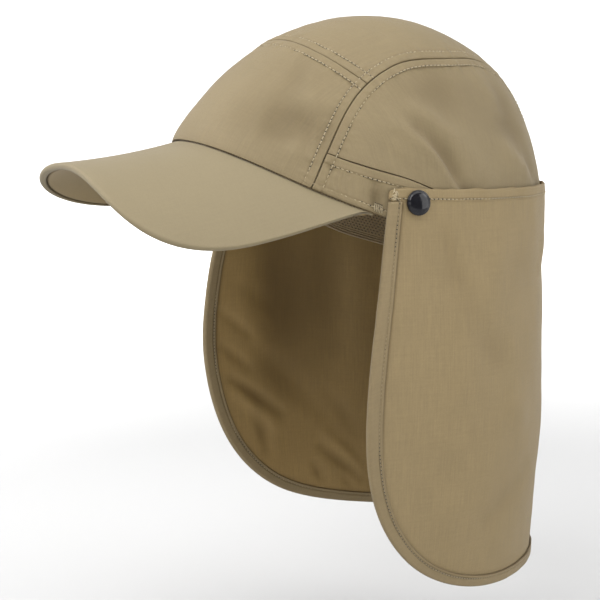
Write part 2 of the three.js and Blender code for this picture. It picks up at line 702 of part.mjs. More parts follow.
// Shares of the grid's columns from -1 to 1 and of its rows from 0 to 1, with one line of
// cells as wide as the tape along the edge
function flapColumn(i) {
  const last = 1 - (TAPE_WIDTH + GAP) / (FLAP_HALF_ANGLE * HEAD_SIDE);
  const inner = clamp(i - 1, 0, FLAP_GRID.across - 2) / (FLAP_GRID.across - 2);
  if (i === 0 || i === FLAP_GRID.across) return i === 0 ? -1 : 1;
  return last * (2 * inner - 1);
}

function flapRow(j, hem) {
  const last = 1 - (TAPE_WIDTH + GAP) / FLAP_LENGTH;
  if (j === FLAP_GRID.down) return 1;
  return mix(hem, last, (j - 2) / (FLAP_GRID.down - 3));
}

function flapGridPlace(i, j) {
  const across = flapColumn(i);
  const edge = flapOval(across);
  const hem = HEM_HEIGHT / (FLAP_LENGTH * edge);
  const down = j < 2 ? hem * j : flapRow(j, (HEM_HEIGHT + GAP) / (FLAP_LENGTH * edge));
  const wide = across * flapOval(down);
  return flapPlace(wide, down * edge, j < 2 ? 0 : FLAP_INSET);
}

function snapFrame(sign) {
  const angle = sign * SNAP_ANGLE;
  const centre = flapPoint(angle, SNAP_DROP);
  const outwards = flapPoint(angle, SNAP_DROP, 1).sub(centre);
  return { centre, outwards };
}

// Turned piece from a closed profile of radius and height, standing on the flap at a snap
function turned(profile, sign) {
  const points = profile.map(([radius, height]) => new THREE.Vector2(radius, height));
  const geometry = new THREE.LatheGeometry(points, SNAP_SIDES);
  const { centre, outwards } = snapFrame(sign);
  const turn = new THREE.Quaternion().setFromUnitVectors(new THREE.Vector3(0, 1, 0), outwards);
  geometry.applyQuaternion(turn);
  geometry.translate(centre.x, centre.y, centre.z);
  geometry.deleteAttribute('normal');
  geometry.deleteAttribute('uv');
  const merged = mergeVertices(geometry, MERGE_DISTANCE);
  const position = merged.getAttribute('position');
  const corner = (_, k) => new THREE.Vector3().fromBufferAttribute(position, k);
  const corners = Array.from({ length: position.count }, corner);
  const index = Array.from(merged.index.array);
  const faces = [];
  for (let i = 0; i < index.length; i += 3) faces.push(index.slice(i, i + 3));
  return closedBody(corners, faces);
}

const CAP_SEAT = HEM_THICKNESS / 2 + GAP;
const STUD_TOP = -(HEM_THICKNESS / 2 + STUD_CLEARANCE);
const POST_END = STUD_TOP - STUD_THICKNESS + POST_INSET;

function snapCap(sign) {
  const dome = [0.97, 0.85, 0.6, 0.3];
  const rise = [0.45, 0.72, 0.9, 0.98];
  const profile = [
    [0, POST_END],
    [SNAP_POST_RADIUS, POST_END],
    [SNAP_POST_RADIUS, CAP_SEAT],
    [SNAP_RADIUS - SNAP_BEVEL, CAP_SEAT],
    [SNAP_RADIUS, CAP_SEAT + SNAP_LIP / 2],
    [SNAP_RADIUS, CAP_SEAT + SNAP_LIP],
    ...dome.map((share, k) => [share * SNAP_RADIUS, CAP_SEAT + mix(SNAP_LIP, SNAP_DOME, rise[k])]),
    [0, CAP_SEAT + SNAP_DOME],
  ];
  return turned(profile, sign);
}

function snapStud(sign) {
  const bore = SNAP_POST_RADIUS + GAP;
  const foot = STUD_TOP - STUD_THICKNESS;
  const low = [[bore, foot], [STUD_RADIUS, foot]];
  const high = [[STUD_RADIUS, STUD_TOP], [bore, STUD_TOP]];
  return turned([...low, ...high, low[0]], sign);
}

function neckFlap() {
  const place = (i, j, face) => {
    const half = (j < 2 ? HEM_THICKNESS : FLAP_WALL) / 2;
    return flapPoint(...flapGridPlace(i, j), face * half);
  };
  let flap = solidOf(sheet(FLAP_GRID.across, FLAP_GRID.down, place));
  for (const sign of [1, -1]) {
    const hole = SNAP_POST_RADIUS + GAP;
    const tall = HEM_THICKNESS * 2;
    const cutter = solidOf(turned([[0, -tall], [hole, -tall], [hole, tall], [0, tall]], sign));
    flap = flap.subtract(cutter);
  }
  return geometryOf(flap);
}

// Tape folded over the flap's front edges and hem, a U section with the cloth inside it
function flapBinding() {
  const inner = FLAP_WALL / 2 + GAP;
  const outer = inner + TAPE_WALL;
  const section = [
    [TAPE_WIDTH, inner],
    [TAPE_WIDTH, outer],
    [TAPE_WALL * 0.7, outer],
    [0, outer * 0.4],
    [0, -outer * 0.4],
    [TAPE_WALL * 0.7, -outer],
    [TAPE_WIDTH, -outer],
    [TAPE_WIDTH, -inner],
    [TAPE_WALL, -inner],
    [TAPE_WALL, inner],
  ];
  const start = (HEM_HEIGHT + 2 * GAP) / (FLAP_LENGTH * FLAP_HALF_STEP);
  const hem = (HEM_HEIGHT + GAP) / (FLAP_LENGTH * FLAP_HALF_STEP);
  const edge = [[flapOval(start), start * FLAP_HALF_STEP]];
  for (let j = 3; j < FLAP_GRID.down; j += 1) {
    const down = flapRow(j, hem);
    edge.push([flapOval(down), down * FLAP_HALF_STEP]);
  }
  const side = edge.map(([wide, long]) => [-wide, long]).reverse();
  for (let i = FLAP_GRID.across; i >= 0; i -= 1) {
    const across = flapColumn(i);
    edge.push([across * FLAP_HALF_STEP, flapOval(across)]);
  }
  edge.push(...side);
  const sections = edge.map(([wide, long]) => section.map(([inset, lift]) => {
    const [angle, depth] = flapPlace(wide, long, inset);
    return flapPoint(angle, depth, lift);
  }));
  return sweep(sections, false);
}

// Strip between the crown and the flap at the nape, below the flap's hem
function backFastener() {
  const { across, down } = FASTENER_GRID;
  const place = (i, j, face) => {
    const angle = mix(-1, 1, i / across) * (FASTENER_HALF_WIDTH / HEAD_BACK);
    const depth = FASTENER_DROP + (FASTENER_HEIGHT * j) / down;
    if (face > 0) return flapPoint(angle, depth, -(FLAP_WALL / 2 + GAP));
    return crownPoint(...crownShares(Math.PI - angle, flapTop(angle) - depth), GAP);
  };
  return sheet(across, down, place);
}

const cloth = { color: 0xa79a7c, roughness: 0.78, metalness: 0 };
const palePeak = { color: 0xafa385, roughness: 0.76, metalness: 0 };
const knit = { color: 0x8a7856, roughness: 0.92, metalness: 0 };
const blackSnap = { color: 0x0c0c0e, roughness: 0.22, metalness: 0 };
const tape = { color: 0x9d9074, roughness: 0.8, metalness: 0 };

const pieces = [
  ...Object.entries(crownPanels()).map(([name, geometry]) => [name, geometry, cloth]),
  ['peak', peak(), palePeak],
  ['peak_underside', peakUnderside(), cloth],
  ['sweatband', sweatband(), knit],
  ['neck_flap', neckFlap(), cloth],
  ['flap_binding', flapBinding(), tape],
  ['snap_cap_left', snapCap(1), blackSnap],
  ['snap_cap_right', snapCap(-1), blackSnap],
  ['snap_stud_left', snapStud(1), blackSnap],
  ['snap_stud_right', snapStud(-1), blackSnap],
  ['back_fastener', backFastener(), tape],
];

const group = new THREE.Group();
for (const [name, geometry, finish] of pieces) {
  const mesh = new THREE.Mesh(geometry, new THREE.MeshStandardMaterial(finish));
  mesh.name = name;
  group.add(mesh);
}

export default group;
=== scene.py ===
# Sun cap with a peak and a hanging neck flap: cloth, stitches, knit and snaps.
# Metres, +Z up. The peak points along -Y and the wearer's left is +X.

import math

import bpy
import numpy as np
from mathutils import Matrix, Vector
from mathutils.bvhtree import BVHTree
from mathutils.kdtree import KDTree


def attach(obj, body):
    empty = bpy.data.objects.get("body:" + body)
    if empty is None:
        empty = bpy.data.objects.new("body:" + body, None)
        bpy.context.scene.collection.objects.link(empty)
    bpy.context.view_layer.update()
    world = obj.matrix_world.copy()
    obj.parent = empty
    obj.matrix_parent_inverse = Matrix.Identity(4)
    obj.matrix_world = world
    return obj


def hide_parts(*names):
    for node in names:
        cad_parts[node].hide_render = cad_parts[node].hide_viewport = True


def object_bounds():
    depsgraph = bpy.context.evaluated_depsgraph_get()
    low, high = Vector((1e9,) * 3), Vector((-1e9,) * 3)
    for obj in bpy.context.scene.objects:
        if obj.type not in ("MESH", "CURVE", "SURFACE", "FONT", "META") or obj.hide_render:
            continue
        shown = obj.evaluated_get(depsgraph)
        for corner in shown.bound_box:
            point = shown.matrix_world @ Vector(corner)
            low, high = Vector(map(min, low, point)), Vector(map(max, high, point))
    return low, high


bl_info = {
    "name": "Sun cap with a neck flap",
    "version": (1, 0, 0),
    "blender": (4, 5, 0),
    "location": "3D View > Sidebar > Cap",
    "description": "Builds a panelled sun cap with a curved peak and a hanging neck flap",
    "category": "Add Mesh",
}

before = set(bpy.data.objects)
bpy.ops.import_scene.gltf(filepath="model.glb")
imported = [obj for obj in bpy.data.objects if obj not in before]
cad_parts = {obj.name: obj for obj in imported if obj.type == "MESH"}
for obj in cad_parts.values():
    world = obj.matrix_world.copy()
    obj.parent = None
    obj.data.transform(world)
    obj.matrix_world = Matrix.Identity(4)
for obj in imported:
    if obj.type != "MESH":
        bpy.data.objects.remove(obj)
SOLID_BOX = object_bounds()

# Head opening: half lengths seen from above, and the power of its rounded outline
HEAD_FRONT = 0.0996
HEAD_BACK = 0.0973
HEAD_SIDE = 0.0825
HEAD_POWER = 2.15

# Rim line seen from the side
RIM_SLOPE = 0.32
BROW_LIFT = 0.0127
BROW_SPREAD = 0.75
BROW_POWER = 2.4
NAPE_DROP = 0.0105
NAPE_FROM = 1.25
NAPE_TO = 2.1

# Crown dome
CROWN_TOP = 0.0917
BACK_SWELL = 0.0089
DOME_LEAN = {"front": 1.06, "side": 0.86, "back": 1.07}
DOME_RISE = {"front": 1.54, "side": 1.02, "back": 0.76}

# Cloth, tape and the gap between pieces
GAP = 0.0003
PANEL_GAP = 0.6 * GAP
CROWN_WALL = 0.0014
SWEATBAND_WALL = 0.0015
SWEATBAND_HEIGHT = 0.028
SWEATBAND_CLEARANCE = 0.0007
FLAP_WALL = 0.001
HEM_THICKNESS = 0.0016
HEM_HEIGHT = 0.0058
HEM_CLEARANCE = 0.00085
TAPE_WALL = 0.001
TAPE_WIDTH = 0.0062

# Share of its blank that a cut panel takes up
BLANK_USE = 0.86

# Lower band of the crown
BAND_FRONT_HEIGHT = 0.0182
BAND_HEIGHT = 0.021
BAND_RISE = (0.75, 1.3)

# Arc seam of the side panel, as shares of the crown seen from above
ARC_SEAM = [
    {"back": -0.78, "side": 0.712},
    {"back": -0.541, "side": 0.569},
    {"back": -0.328, "side": 0.451},
    {"back": -0.149, "side": 0.404},
    {"back": 0.089, "side": 0.382},
    {"back": 0.3, "side": 0.3},
    {"back": 0.5, "side": 0.25},
    {"back": 0.95, "side": 0.24},
]
ARC_SEAM_REAR_CORNER = 0.42
FRONT_SEAM_BACK = -0.334
FRONT_SEAM_CURVE = 0.38

# Folds of the crown, from and to as (side, back) shares, width and height in metres
CROWN_FOLDS = [
    {"start": (0.6, -0.24), "end": (0.84, 0.01), "width": 0.006, "height": 0.0015},
    {"start": (0.62, -0.15), "end": (0.82, 0.08), "width": 0.006, "height": -0.0014},
    {"start": (0.64, -0.05), "end": (0.79, 0.18), "width": 0.006, "height": 0.001},
    {"start": (0.64, 0.34), "end": (0.64, 0.52), "width": 0.006, "height": 0.0011},
    {"start": (0.87, -0.46), "end": (0.76, -0.4), "width": 0.005, "height": -0.0012},
]

# Finer folds and soft dents that only the cloth shows
CROWN_CREASES = [
    {"start": (0.27, -0.66), "end": (0.46, -0.55), "width": 0.013, "height": -0.0027},
    {"start": (0.4, -0.57), "end": (0.46, -0.5), "width": 0.007, "height": -0.0011},
    {"start": (0.33, -0.5), "end": (0.4, -0.44), "width": 0.006, "height": 0.001},
    {"start": (0.44, -0.68), "end": (0.52, -0.6), "width": 0.005, "height": 0.0008},
    {"start": (0.2, -0.45), "end": (0.3, -0.4), "width": 0.012, "height": -0.0012},
    {"start": (0.62, -0.23), "end": (0.84, 0.01), "width": 0.0024, "height": 0.0017},
    {"start": (0.65, -0.15), "end": (0.85, 0.07), "width": 0.0034, "height": -0.0026},
    {"start": (0.58, -0.14), "end": (0.77, 0.12), "width": 0.0036, "height": 0.0023},
    {"start": (0.66, -0.03), "end": (0.8, 0.16), "width": 0.0036, "height": -0.0016},
    {"start": (0.66, -0.32), "end": (0.84, -0.16), "width": 0.003, "height": -0.0005},
    {"start": (0.55, -0.12), "end": (0.52, 0.12), "width": 0.011, "height": -0.0021},
    {"start": (0.5, 0.34), "end": (0.59, 0.38), "width": 0.013, "height": -0.0019},
    {"start": (0.53, -0.2), "end": (0.6, -0.1), "width": 0.004, "height": 0.0006},
    {"start": (0.42, 0.24), "end": (0.5, 0.3), "width": 0.004, "height": 0.001},
    {"start": (0.45, 0.3), "end": (0.52, 0.4), "width": 0.007, "height": -0.0012},
    {"start": (0.64, 0.35), "end": (0.57, 0.58), "width": 0.0032, "height": 0.0023},
    {"start": (0.6, 0.44), "end": (0.53, 0.62), "width": 0.005, "height": -0.002},
    {"start": (0.86, -0.45), "end": (0.77, -0.41), "width": 0.0028, "height": -0.0013},
]
# Painted shade at the bottom of folds: darkness per metre of depth, and its most on the right side and on
# the wrong side
CREASE_SHADE = 190.0
CREASE_SHADE_MOST = 0.45
WRONG_SIDE_SHADE_MOST = 0.8

# Slack and crinkles all over the crown
SLACK_HEIGHT = 0.0004
SLACK_SIZE = 0.05
CRINKLE_HEIGHT = 0.0001
CRINKLE_SIZE = 0.012
INNER_FOLLOW = 0.3

# Tints painted as shade: warmer on the cloth's wrong side, for the warm shade inside the cap, and darker
# deep in its creases
WRONG_SIDE_SHADE_TINT = (1.14, 1.02, 0.77)
DEEP_SHADE = (0.32, 0.26, 0.19)

# Peak
PEAK_END_ANGLE = 1.073
PEAK_CORNER_IN = 0.0007
PEAK_CORNER_AHEAD = 0.0087
PEAK_REACH = 0.1128
PEAK_POWER = 3.68
PEAK_BEND = 0.0915
PEAK_TIP_BEND = {"left": 0.96, "right": 1.314}
PEAK_CORNER_DROP = 0.00216
PEAK_TIP_LIFT = 0.006
PEAK_BOARD = 0.002
PEAK_UNDER_WALL = 0.001
PEAK_ROLL_WIDTH = 0.0032
PEAK_ROLL_GAP = 0.0007
PEAK_SEAT_INSET = 0.0004
PEAK_SEAT_GAP = 0.0005

# Neck flap
FLAP_LENGTH = 0.214
FLAP_HALF_ANGLE = 1.983
FLAP_FLARE_ANGLE = 0.288
FLAP_POWER = 4.26
FLAP_NAPE_RISE = 0.005
FLAP_TOP_FRONT = 0.0134
FLAP_TOP_FALL = 0.0106
FLAP_FREE_DEPTH = 0.068
FLAP_RELEASE = 0.025
FLAP_SECTION_POWER = 1.83
FLAP_SECTIONS = [
    {"drop": 0, "side": 1.042, "back": 1.048, "front": 2.4},
    {"drop": 0.5, "side": 1.078, "back": 1.122, "front": 2.65},
    {"drop": 1, "side": 0.944, "back": 1.092, "front": 2.9},
]

# Folds of the flap, from and to as (share round from the nape, share of its length)
FLAP_FOLDS = [
    {"start": (-0.9, 0.52), "end": (-0.62, 0.72), "width": 0.008, "height": 0.002},
    {"start": (-0.95, 0.34), "end": (-0.8, 0.42), "width": 0.006, "height": 0.0012},
    {"start": (-0.5, 0.86), "end": (-0.34, 0.96), "width": 0.006, "height": 0.0016},
    {"start": (0.72, 0.1), "end": (0.8, 0.55), "width": 0.012, "height": 0.0012},
    {"start": (0.3, 0.12), "end": (0.22, 0.5), "width": 0.014, "height": -0.0015},
    {"start": (-0.25, 0.2), "end": (-0.3, 0.7), "width": 0.014, "height": 0.0015},
]
FLAP_CREASES = [
    {"start": (-0.78, 0.16), "end": (-0.74, 0.58), "width": 0.018, "height": 0.0045},
    {"start": (-0.93, 0.28), "end": (-0.9, 0.5), "width": 0.012, "height": -0.002},
    {"start": (-1.0, 0.42), "end": (-0.9, 0.49), "width": 0.0032, "height": 0.0014},
    {"start": (-1.0, 0.515), "end": (-0.91, 0.58), "width": 0.0032, "height": 0.0014},
    {"start": (-0.97, 0.61), "end": (-0.8, 0.71), "width": 0.0032, "height": 0.0022},
    {"start": (-0.96, 0.65), "end": (-0.82, 0.75), "width": 0.004, "height": -0.0014},
    {"start": (-0.62, 0.66), "end": (-0.5, 0.78), "width": 0.004, "height": 0.001},
    {"start": (-0.875, 0.72), "end": (-0.86, 0.81), "width": 0.0045, "height": 0.0018},
    {"start": (-0.62, 0.15), "end": (-0.6, 0.52), "width": 0.012, "height": 0.0024},
    {"start": (-0.5, 0.2), "end": (-0.5, 0.6), "width": 0.011, "height": -0.0018},
    {"start": (-0.62, 0.785), "end": (-0.48, 0.885), "width": 0.003, "height": -0.0016},
    {"start": (-0.64, 0.82), "end": (-0.49, 0.912), "width": 0.0028, "height": 0.0022},
    {"start": (-0.67, 0.87), "end": (-0.64, 0.91), "width": 0.0028, "height": 0.0016},
    {"start": (-0.56, 0.9), "end": (-0.53, 0.935), "width": 0.0026, "height": 0.0012},
    {"start": (0.86, 0.05), "end": (0.8, 0.2), "width": 0.005, "height": -0.0008},
    {"start": (0.62, 0.08), "end": (0.68, 0.3), "width": 0.01, "height": 0.0012},
    {"start": (0.8, 0.2), "end": (0.6, 0.45), "width": 0.009, "height": -0.001},
    {"start": (0.45, 0.62), "end": (0.6, 0.45), "width": 0.009, "height": 0.0011},
    {"start": (0.62, 0.8), "end": (0.44, 0.7), "width": 0.008, "height": -0.0009},
    {"start": (0.3, 0.1), "end": (0.36, 0.2), "width": 0.005, "height": 0.001},
]

# Snaps
SNAP_BACK = 0.0128
SNAP_DROP = 0.0066
SNAP_RADIUS = 0.006
SNAP_DOME = 0.003
SNAP_LIP = 0.0013
STUD_THICKNESS = 0.0013
STUD_CLEARANCE = 0.00045

# How the cloth lies beside its seams and stitch rows
SEAM_DEPTH = 0.00066
SEAM_WIDTH = 0.00022
RIM_DEPTH = 0.0004
PAD_HEIGHT = 0.00028
PAD_FROM = 0.0012
PAD_EDGE = 0.0006
ROW_DISTANCE = 0.0048
RIM_ROW_DISTANCE = 0.0031
ROW_DEPTH = 0.00024
ROW_WIDTH = 0.00045
PUCKER_HEIGHT = 0.00031
PUCKER_REACH = 0.0034
PUCKER_PITCH = 0.0065
# Painted shade in the dip of a stitch row
ROW_SHADE = 0.3
HEM_ROW = 0.0048
HEM_WAVE = {"height": 0.0004, "size": 0.013, "reach": 0.006}
HEM_LIP = 0.0009
HEM_DIP = {"outer": 0.00028, "inner": 0.00018, "width": 0.00042}
HEM_PUCKER = {"height": 0.00014, "size": 0.006, "reach": 0.0035}
TAPE_ROW = 0.0046
TAPE_NOSE = 0.0011
TAPE_DIP = {"depth": 0.00026, "width": 0.0004}
TAPE_SWELL = {"height": 0.0001, "size": 0.0075, "reach": 0.003}
TAPE_PAD = 0.00012

# Painted shade along edges, seams and stitch rows: how dark, and how wide
TOP_SHADE = (0.4, 0.0004)
TAPE_SHADE = (0.8, 0.0006)
TAPE_EDGE_SHADE = (0.85, 0.00035)
TAPE_ROW_SHADE = 0.28
PEAK_SEAM_SHADE = (0.5, 0.0006)
PEAK_ROLL_SHADE = (0.5, 0.0004)
UNDER_EDGE_WIDTH = 0.0006
UNDER_SEAM_WIDTH = 0.001

# Stitches: how far off the cloth they are looked for from, and the shortest row in points
SKIN_REACH = 0.002
SHORTEST_RUN = 3
BOW_SINK = 0.9
BOW_RISE = 2.2
HOLE_DEPTH = 0.35
HOLE_SINK = 0.15
HOLE_BEYOND = 0.8

# Mesh steps
FINE_STEP = 0.00015
STEP_GROWTH = 0.06
COARSE_STEP = 0.0016
FLAP_STEP = 0.0021
DERIVATIVE_STEP = 0.002
PEAK_STEP = 0.0005
HALVINGS = 34
CLIMB_RANGE = (-2.5, 0.7)
LINE_POINTS = {"arc": 700, "front": 240, "band": 1100, "rim": 1400}
PEAK_POINTS = {"round": 321, "top": 60, "nose": 13, "below": 22, "under": 44}
BAND_POINTS = {"round": 337, "up": 26}
TAPE_POINTS = {"down": 160, "across": 250, "nose": 15}
SNAP_POINTS = {"round": 56, "dome": 12}

# Shape of a fold along its length: its height at the ends, and where it tapers
FOLD_END = 0.35
FOLD_TAPER = (0.1, 0.9)

# Random unevenness of cloth: how many waves, how their lengths spread, and their levels
RIPPLE_WAVES = 9
RIPPLE_SPREAD = (0.7, 1.6)
RIPPLE_LEVEL = 0.55
WAVE_SHARES = (0.62, 1.0, 1.47, 2.3)
WAVE_LEVEL = 2.6

# Camera of the photograph: round and up in degrees, distance, and its picture
VIEW_ROUND = 59.85
VIEW_UP = 11.87
VIEW_DISTANCE = 0.72324
VIEW_CENTRE = (0.0, 0.0, 0.00187)
PICTURE_SIZE = 600
PICTURE_FOCUS = 1372.71
PICTURE_CENTRE = (360.28, 189.31)
SENSOR_WIDTH = 36.0

# Soft lights: round and up in degrees, how far away, size in metres and power in watts
LIGHTS = [
    {"name": "key", "round": 15, "up": 48, "away": 1.5, "size": (1.1, 1.1), "power": 17.5},
    {"name": "top", "round": 80, "up": 82, "away": 1.5, "size": (1.6, 1.6), "power": 15},
    {"name": "far", "round": -40, "up": 35, "away": 1.6, "size": (1.0, 1.0), "power": 21.5},
    {"name": "rear", "round": 150, "up": 40, "away": 1.6, "size": (1.0, 1.0), "power": 6},
    {"name": "softbox", "round": 132, "up": 14, "away": 1.5, "size": (1.0, 1.3), "power": 9.5},
    {"name": "low", "round": 30, "up": 8, "away": 1.6, "size": (0.7, 0.5), "power": 3},
    {"name": "side", "round": 77, "up": 3, "away": 1.6, "size": (1.1, 0.8), "power": 13},
]
LIGHT_CENTRE = Vector((0, 0, -0.05))
BACKDROP = {"name": "backdrop", "size": (1.2, 1.2), "power": 60, "away": 1.25, "high": 1.15, "tilt": 0.6}
BACKDROP_TURNS = (-0.7, 0.0, 0.7)
WORLD_STRENGTH = 0.43

# Studio floor from its middle outwards: radius and height
FLOOR_SIDES = 96
FLOOR_PROFILE = [
    (0.001, 0), (0.6, 0), (1.2, 0), (1.8, 0), (2.4, 0.02), (2.9, 0.12), (3.3, 0.34), (3.6, 0.7),
    (3.8, 1.2), (3.9, 1.9), (3.92, 2.8), (3.92, 4.0),
]


def mix(a, b, t):
    return a + (b - a) * t


def smooth(low, high, x):
    t = np.clip((x - low) / (high - low), 0, 1)
    return t * t * (3 - 2 * t)


def bell(x, width):
    """Bell curve that is one at x of zero."""
    return np.exp(-((x / width) ** 2))


def rounded(x, width):
    """Quarter round that climbs from 0 at an edge to 1 at width."""
    return np.sqrt(np.clip(1 - (1 - x / width).clip(0, 1) ** 2, 0, 1))


def facing(round_degrees, up_degrees):
    """Direction from the cap, round from straight ahead to the wearer's left, and up."""
    turn, up = math.radians(round_degrees), math.radians(up_degrees)
    return Vector((math.sin(turn) * math.cos(up), -math.cos(turn) * math.cos(up), math.sin(up)))


def add_object(name, data):
    made = bpy.data.objects.new(name, data)
    bpy.context.scene.collection.objects.link(made)
    return made


def unit(vectors):
    return vectors / np.maximum(np.linalg.norm(vectors, axis=-1, keepdims=True), 1e-12)


def table_value(rows, key, column, x):
    """Smooth curve through one column of a table, against another column."""
    keys = np.array([row[key] for row in rows], float)
    values = np.array([row[column] for row in rows], float)
    i = np.searchsorted(keys[1:-1], x, side="left")
    last = len(keys) - 1
    span = keys[i + 1] - keys[i]
    t = (x - keys[i]) / span

    def slope(a, b):
        return (values[b] - values[a]) / (keys[b] - keys[a])

    m0 = span * slope(np.maximum(i - 1, 0), i + 1)
    m1 = span * slope(i, np.minimum(i + 2, last))
    a = values[i]
    b = values[i + 1]
    return a + t * (m0 + t * (3 * (b - a) - 2 * m0 - m1 + t * (2 * (a - b) + m0 + m1)))


def solve(rising, value, low, high):
    """Argument between low and high at which a rising function reaches a value."""
    a = np.zeros_like(np.asarray(value, float)) + low
    b = np.zeros_like(a) + high
    for _ in range(HALVINGS):
        middle = (a + b) / 2
        under = rising(middle) < value
        a = np.where(under, middle, a)
        b = np.where(under, b, middle)
    return (a + b) / 2


def normal_of(surface, u, v, step=DERIVATIVE_STEP):
    along_u = surface(u + step, v) - surface(u - step, v)
    along_v = surface(u, v + step) - surface(u, v - step)
    return unit(np.cross(along_u, along_v))


def fold_height(folds, u, v, scale_u, scale_v):
    """Height that a table of folds adds to the cloth."""
    total = np.zeros(np.broadcast(u, v).shape)
    for fold in folds:
        (u0, v0), (u1, v1) = fold["start"], fold["end"]
        du, dv = (u1 - u0) * scale_u, (v1 - v0) * scale_v
        pu, pv = (u - u0) * scale_u, (v - v0) * scale_v
        along = np.clip((pu * du + pv * dv) / (du * du + dv * dv), 0, 1)
        distance = np.hypot(pu - along * du, pv - along * dv)
        taper = FOLD_END + (1 - FOLD_END) * np.sin(math.pi * np.clip(along, *FOLD_TAPER))
        total = total + fold["height"] * taper * bell(distance, fold["width"])
    return total


def ripple(points, size, seed):
    """Soft unevenness about as wide as size, from -1 to 1."""
    draw = np.random.default_rng(seed)
    total = np.zeros(points.shape[:-1])
    for _ in range(RIPPLE_WAVES):
        direction = unit(draw.normal(size=3))
        length = size * draw.uniform(*RIPPLE_SPREAD)
        phase = draw.uniform(0, 2 * math.pi)
        total += np.sin(points @ direction * (2 * math.pi / length) + phase)
    return total / (RIPPLE_LEVEL * RIPPLE_WAVES)


def wave(along, size, seed):
    """Uneven wave along a line, from -1 to 1."""
    draw = np.random.default_rng(seed)
    total = np.zeros(np.shape(along))
    for share in WAVE_SHARES:
        total = total + np.sin(along * (2 * math.pi / (size * share)) + draw.uniform(0, 2 * math.pi))
    return total / WAVE_LEVEL


def rim_point(angle):
    """Rim of the crown at an angle from the brow, left positive."""
    c, s = np.cos(angle), np.sin(angle)
    reach = np.where(c > 0, HEAD_FRONT, HEAD_BACK)
    total = np.abs(s / HEAD_SIDE) ** HEAD_POWER + np.abs(c / reach) ** HEAD_POWER
    radius = total ** (-1 / HEAD_POWER)
    turn = np.abs(angle)
    brow = BROW_LIFT * (1 - np.exp(-((turn / BROW_SPREAD) ** BROW_POWER)))
    nape = NAPE_DROP * smooth(NAPE_FROM, NAPE_TO, turn)
    y = -radius * c
    return np.stack([radius * s, y, -RIM_SLOPE * y - brow - nape], axis=-1)


def dome_point(side, back):
    """Crown's dome for shares of its plan, with the rim at one."""
    share = np.hypot(side, back)
    angle = np.arctan2(side, -back)
    climb = (1 - np.minimum(share, 1)) * math.pi / 2
    rim = rim_point(angle)
    front = (1 + np.cos(angle)) / 2
    flank = np.sin(angle) ** 2

    def blend(part):
        level = mix(part["back"], part["front"], front)
        return level + (part["side"] - (part["front"] + part["back"]) / 2) * flank

    inwards = np.cos(climb) ** blend(DOME_LEAN)
    upwards = np.sin(climb) ** blend(DOME_RISE)
    swell = BACK_SWELL * np.sin(2 * climb) * (1 - front)
    past = np.maximum(share - 1, 0) * CROWN_TOP
    z = rim[..., 2] + (CROWN_TOP - rim[..., 2]) * upwards - past
    return np.stack([rim[..., 0] * inwards, rim[..., 1] * inwards + swell, z], axis=-1)


def crown_fold(side, back, folds=CROWN_FOLDS):
    reach = HEAD_SIDE + HEAD_BACK / 5
    return fold_height(folds, np.abs(side), back, reach, reach)


def crown_normal(side, back):
    return normal_of(dome_point, side, back)


def crown_point(side, back, lift=0.0):
    height = crown_fold(side, back) + lift
    return dome_point(side, back) + crown_normal(side, back) * height[..., None]


def crown_shares(angle, height):
    """Shares on the crown at a height, at an angle from the brow."""

    def level(inwards):
        return dome_point((1 - inwards) * np.sin(angle), -(1 - inwards) * np.cos(angle))[..., 2]

    inwards = solve(level, height, *CLIMB_RANGE)
    return (1 - inwards) * np.sin(angle), -(1 - inwards) * np.cos(angle)


def arc_seam(back):
    return table_value(ARC_SEAM, "back", "side", back), back


def front_seam(side):
    return side, FRONT_SEAM_BACK + FRONT_SEAM_CURVE * side * side


def on_rim(angle):
    return np.sin(angle), -np.cos(angle)


def mirrored(place):
    return -place[0], place[1]


def angle_of(place):
    return np.arctan2(place[0], -place[1])


def band_height(angle):
    return mix(BAND_FRONT_HEIGHT, BAND_HEIGHT, smooth(*BAND_RISE, np.abs(angle)))


def band_line(angle):
    return crown_shares(angle, rim_point(angle)[..., 2] + band_height(angle))


def height_over_band(back):
    place = arc_seam(back)
    angle = angle_of(place)
    return dome_point(*place)[..., 2] - rim_point(angle)[..., 2] - band_height(angle)


RIM_CORNER = solve(lambda back: -np.hypot(*arc_seam(back)), -1.0, -0.78, -0.6)
FRONT_CORNER = solve(lambda back: back - front_seam(arc_seam(back)[0])[1], 0.0, -0.5, -0.1)
BAND_CORNER = solve(height_over_band, 0.0, RIM_CORNER, FRONT_CORNER)
NAPE_CORNER = solve(lambda back: -height_over_band(back), 0.0, 0.5, 0.95)
RIM_ANGLE = angle_of(arc_seam(RIM_CORNER))
BAND_ANGLE = angle_of(arc_seam(BAND_CORNER))
NAPE_ANGLE = angle_of(arc_seam(NAPE_CORNER))
FRONT_CORNER_SIDE = arc_seam(FRONT_CORNER)[0]


def patch(bottom, top, left, right):
    """Patch between four lines: bottom and top run along s, left and right along t."""
    corners = [bottom(0.0), bottom(1.0), top(0.0), top(1.0)]

    def place(s, t):
        sides = [bottom(s), top(s), left(t), right(t)]
        shares = []
        for k in (0, 1):
            ruled = mix(sides[0][k], sides[1][k], t) + mix(sides[2][k], sides[3][k], s)
            low = mix(corners[0][k], corners[1][k], s)
            high = mix(corners[2][k], corners[3][k], s)
            shares.append(ruled - mix(low, high, t))
        return shares

    return place


def seam_run(*stops):
    knots = (0, 1) if len(stops) == 2 else (0, 0.25, 1)
    return lambda t: arc_seam(np.interp(t, knots, stops))


def mirrored_run(*stops):
    run = seam_run(*stops)
    return lambda t: mirrored(run(t))


def top_run(t):
    return arc_seam(np.interp(t, (0, 0.7, 1), (FRONT_CORNER, ARC_SEAM_REAR_CORNER, NAPE_CORNER)))


def round_nape(front):
    """Angles from the right front end of the band round the nape to the left one."""

    def angle(s):
        turn = mix(2 * math.pi - front, front, s)
        return np.where(turn > math.pi, turn - 2 * math.pi, turn)

    return angle


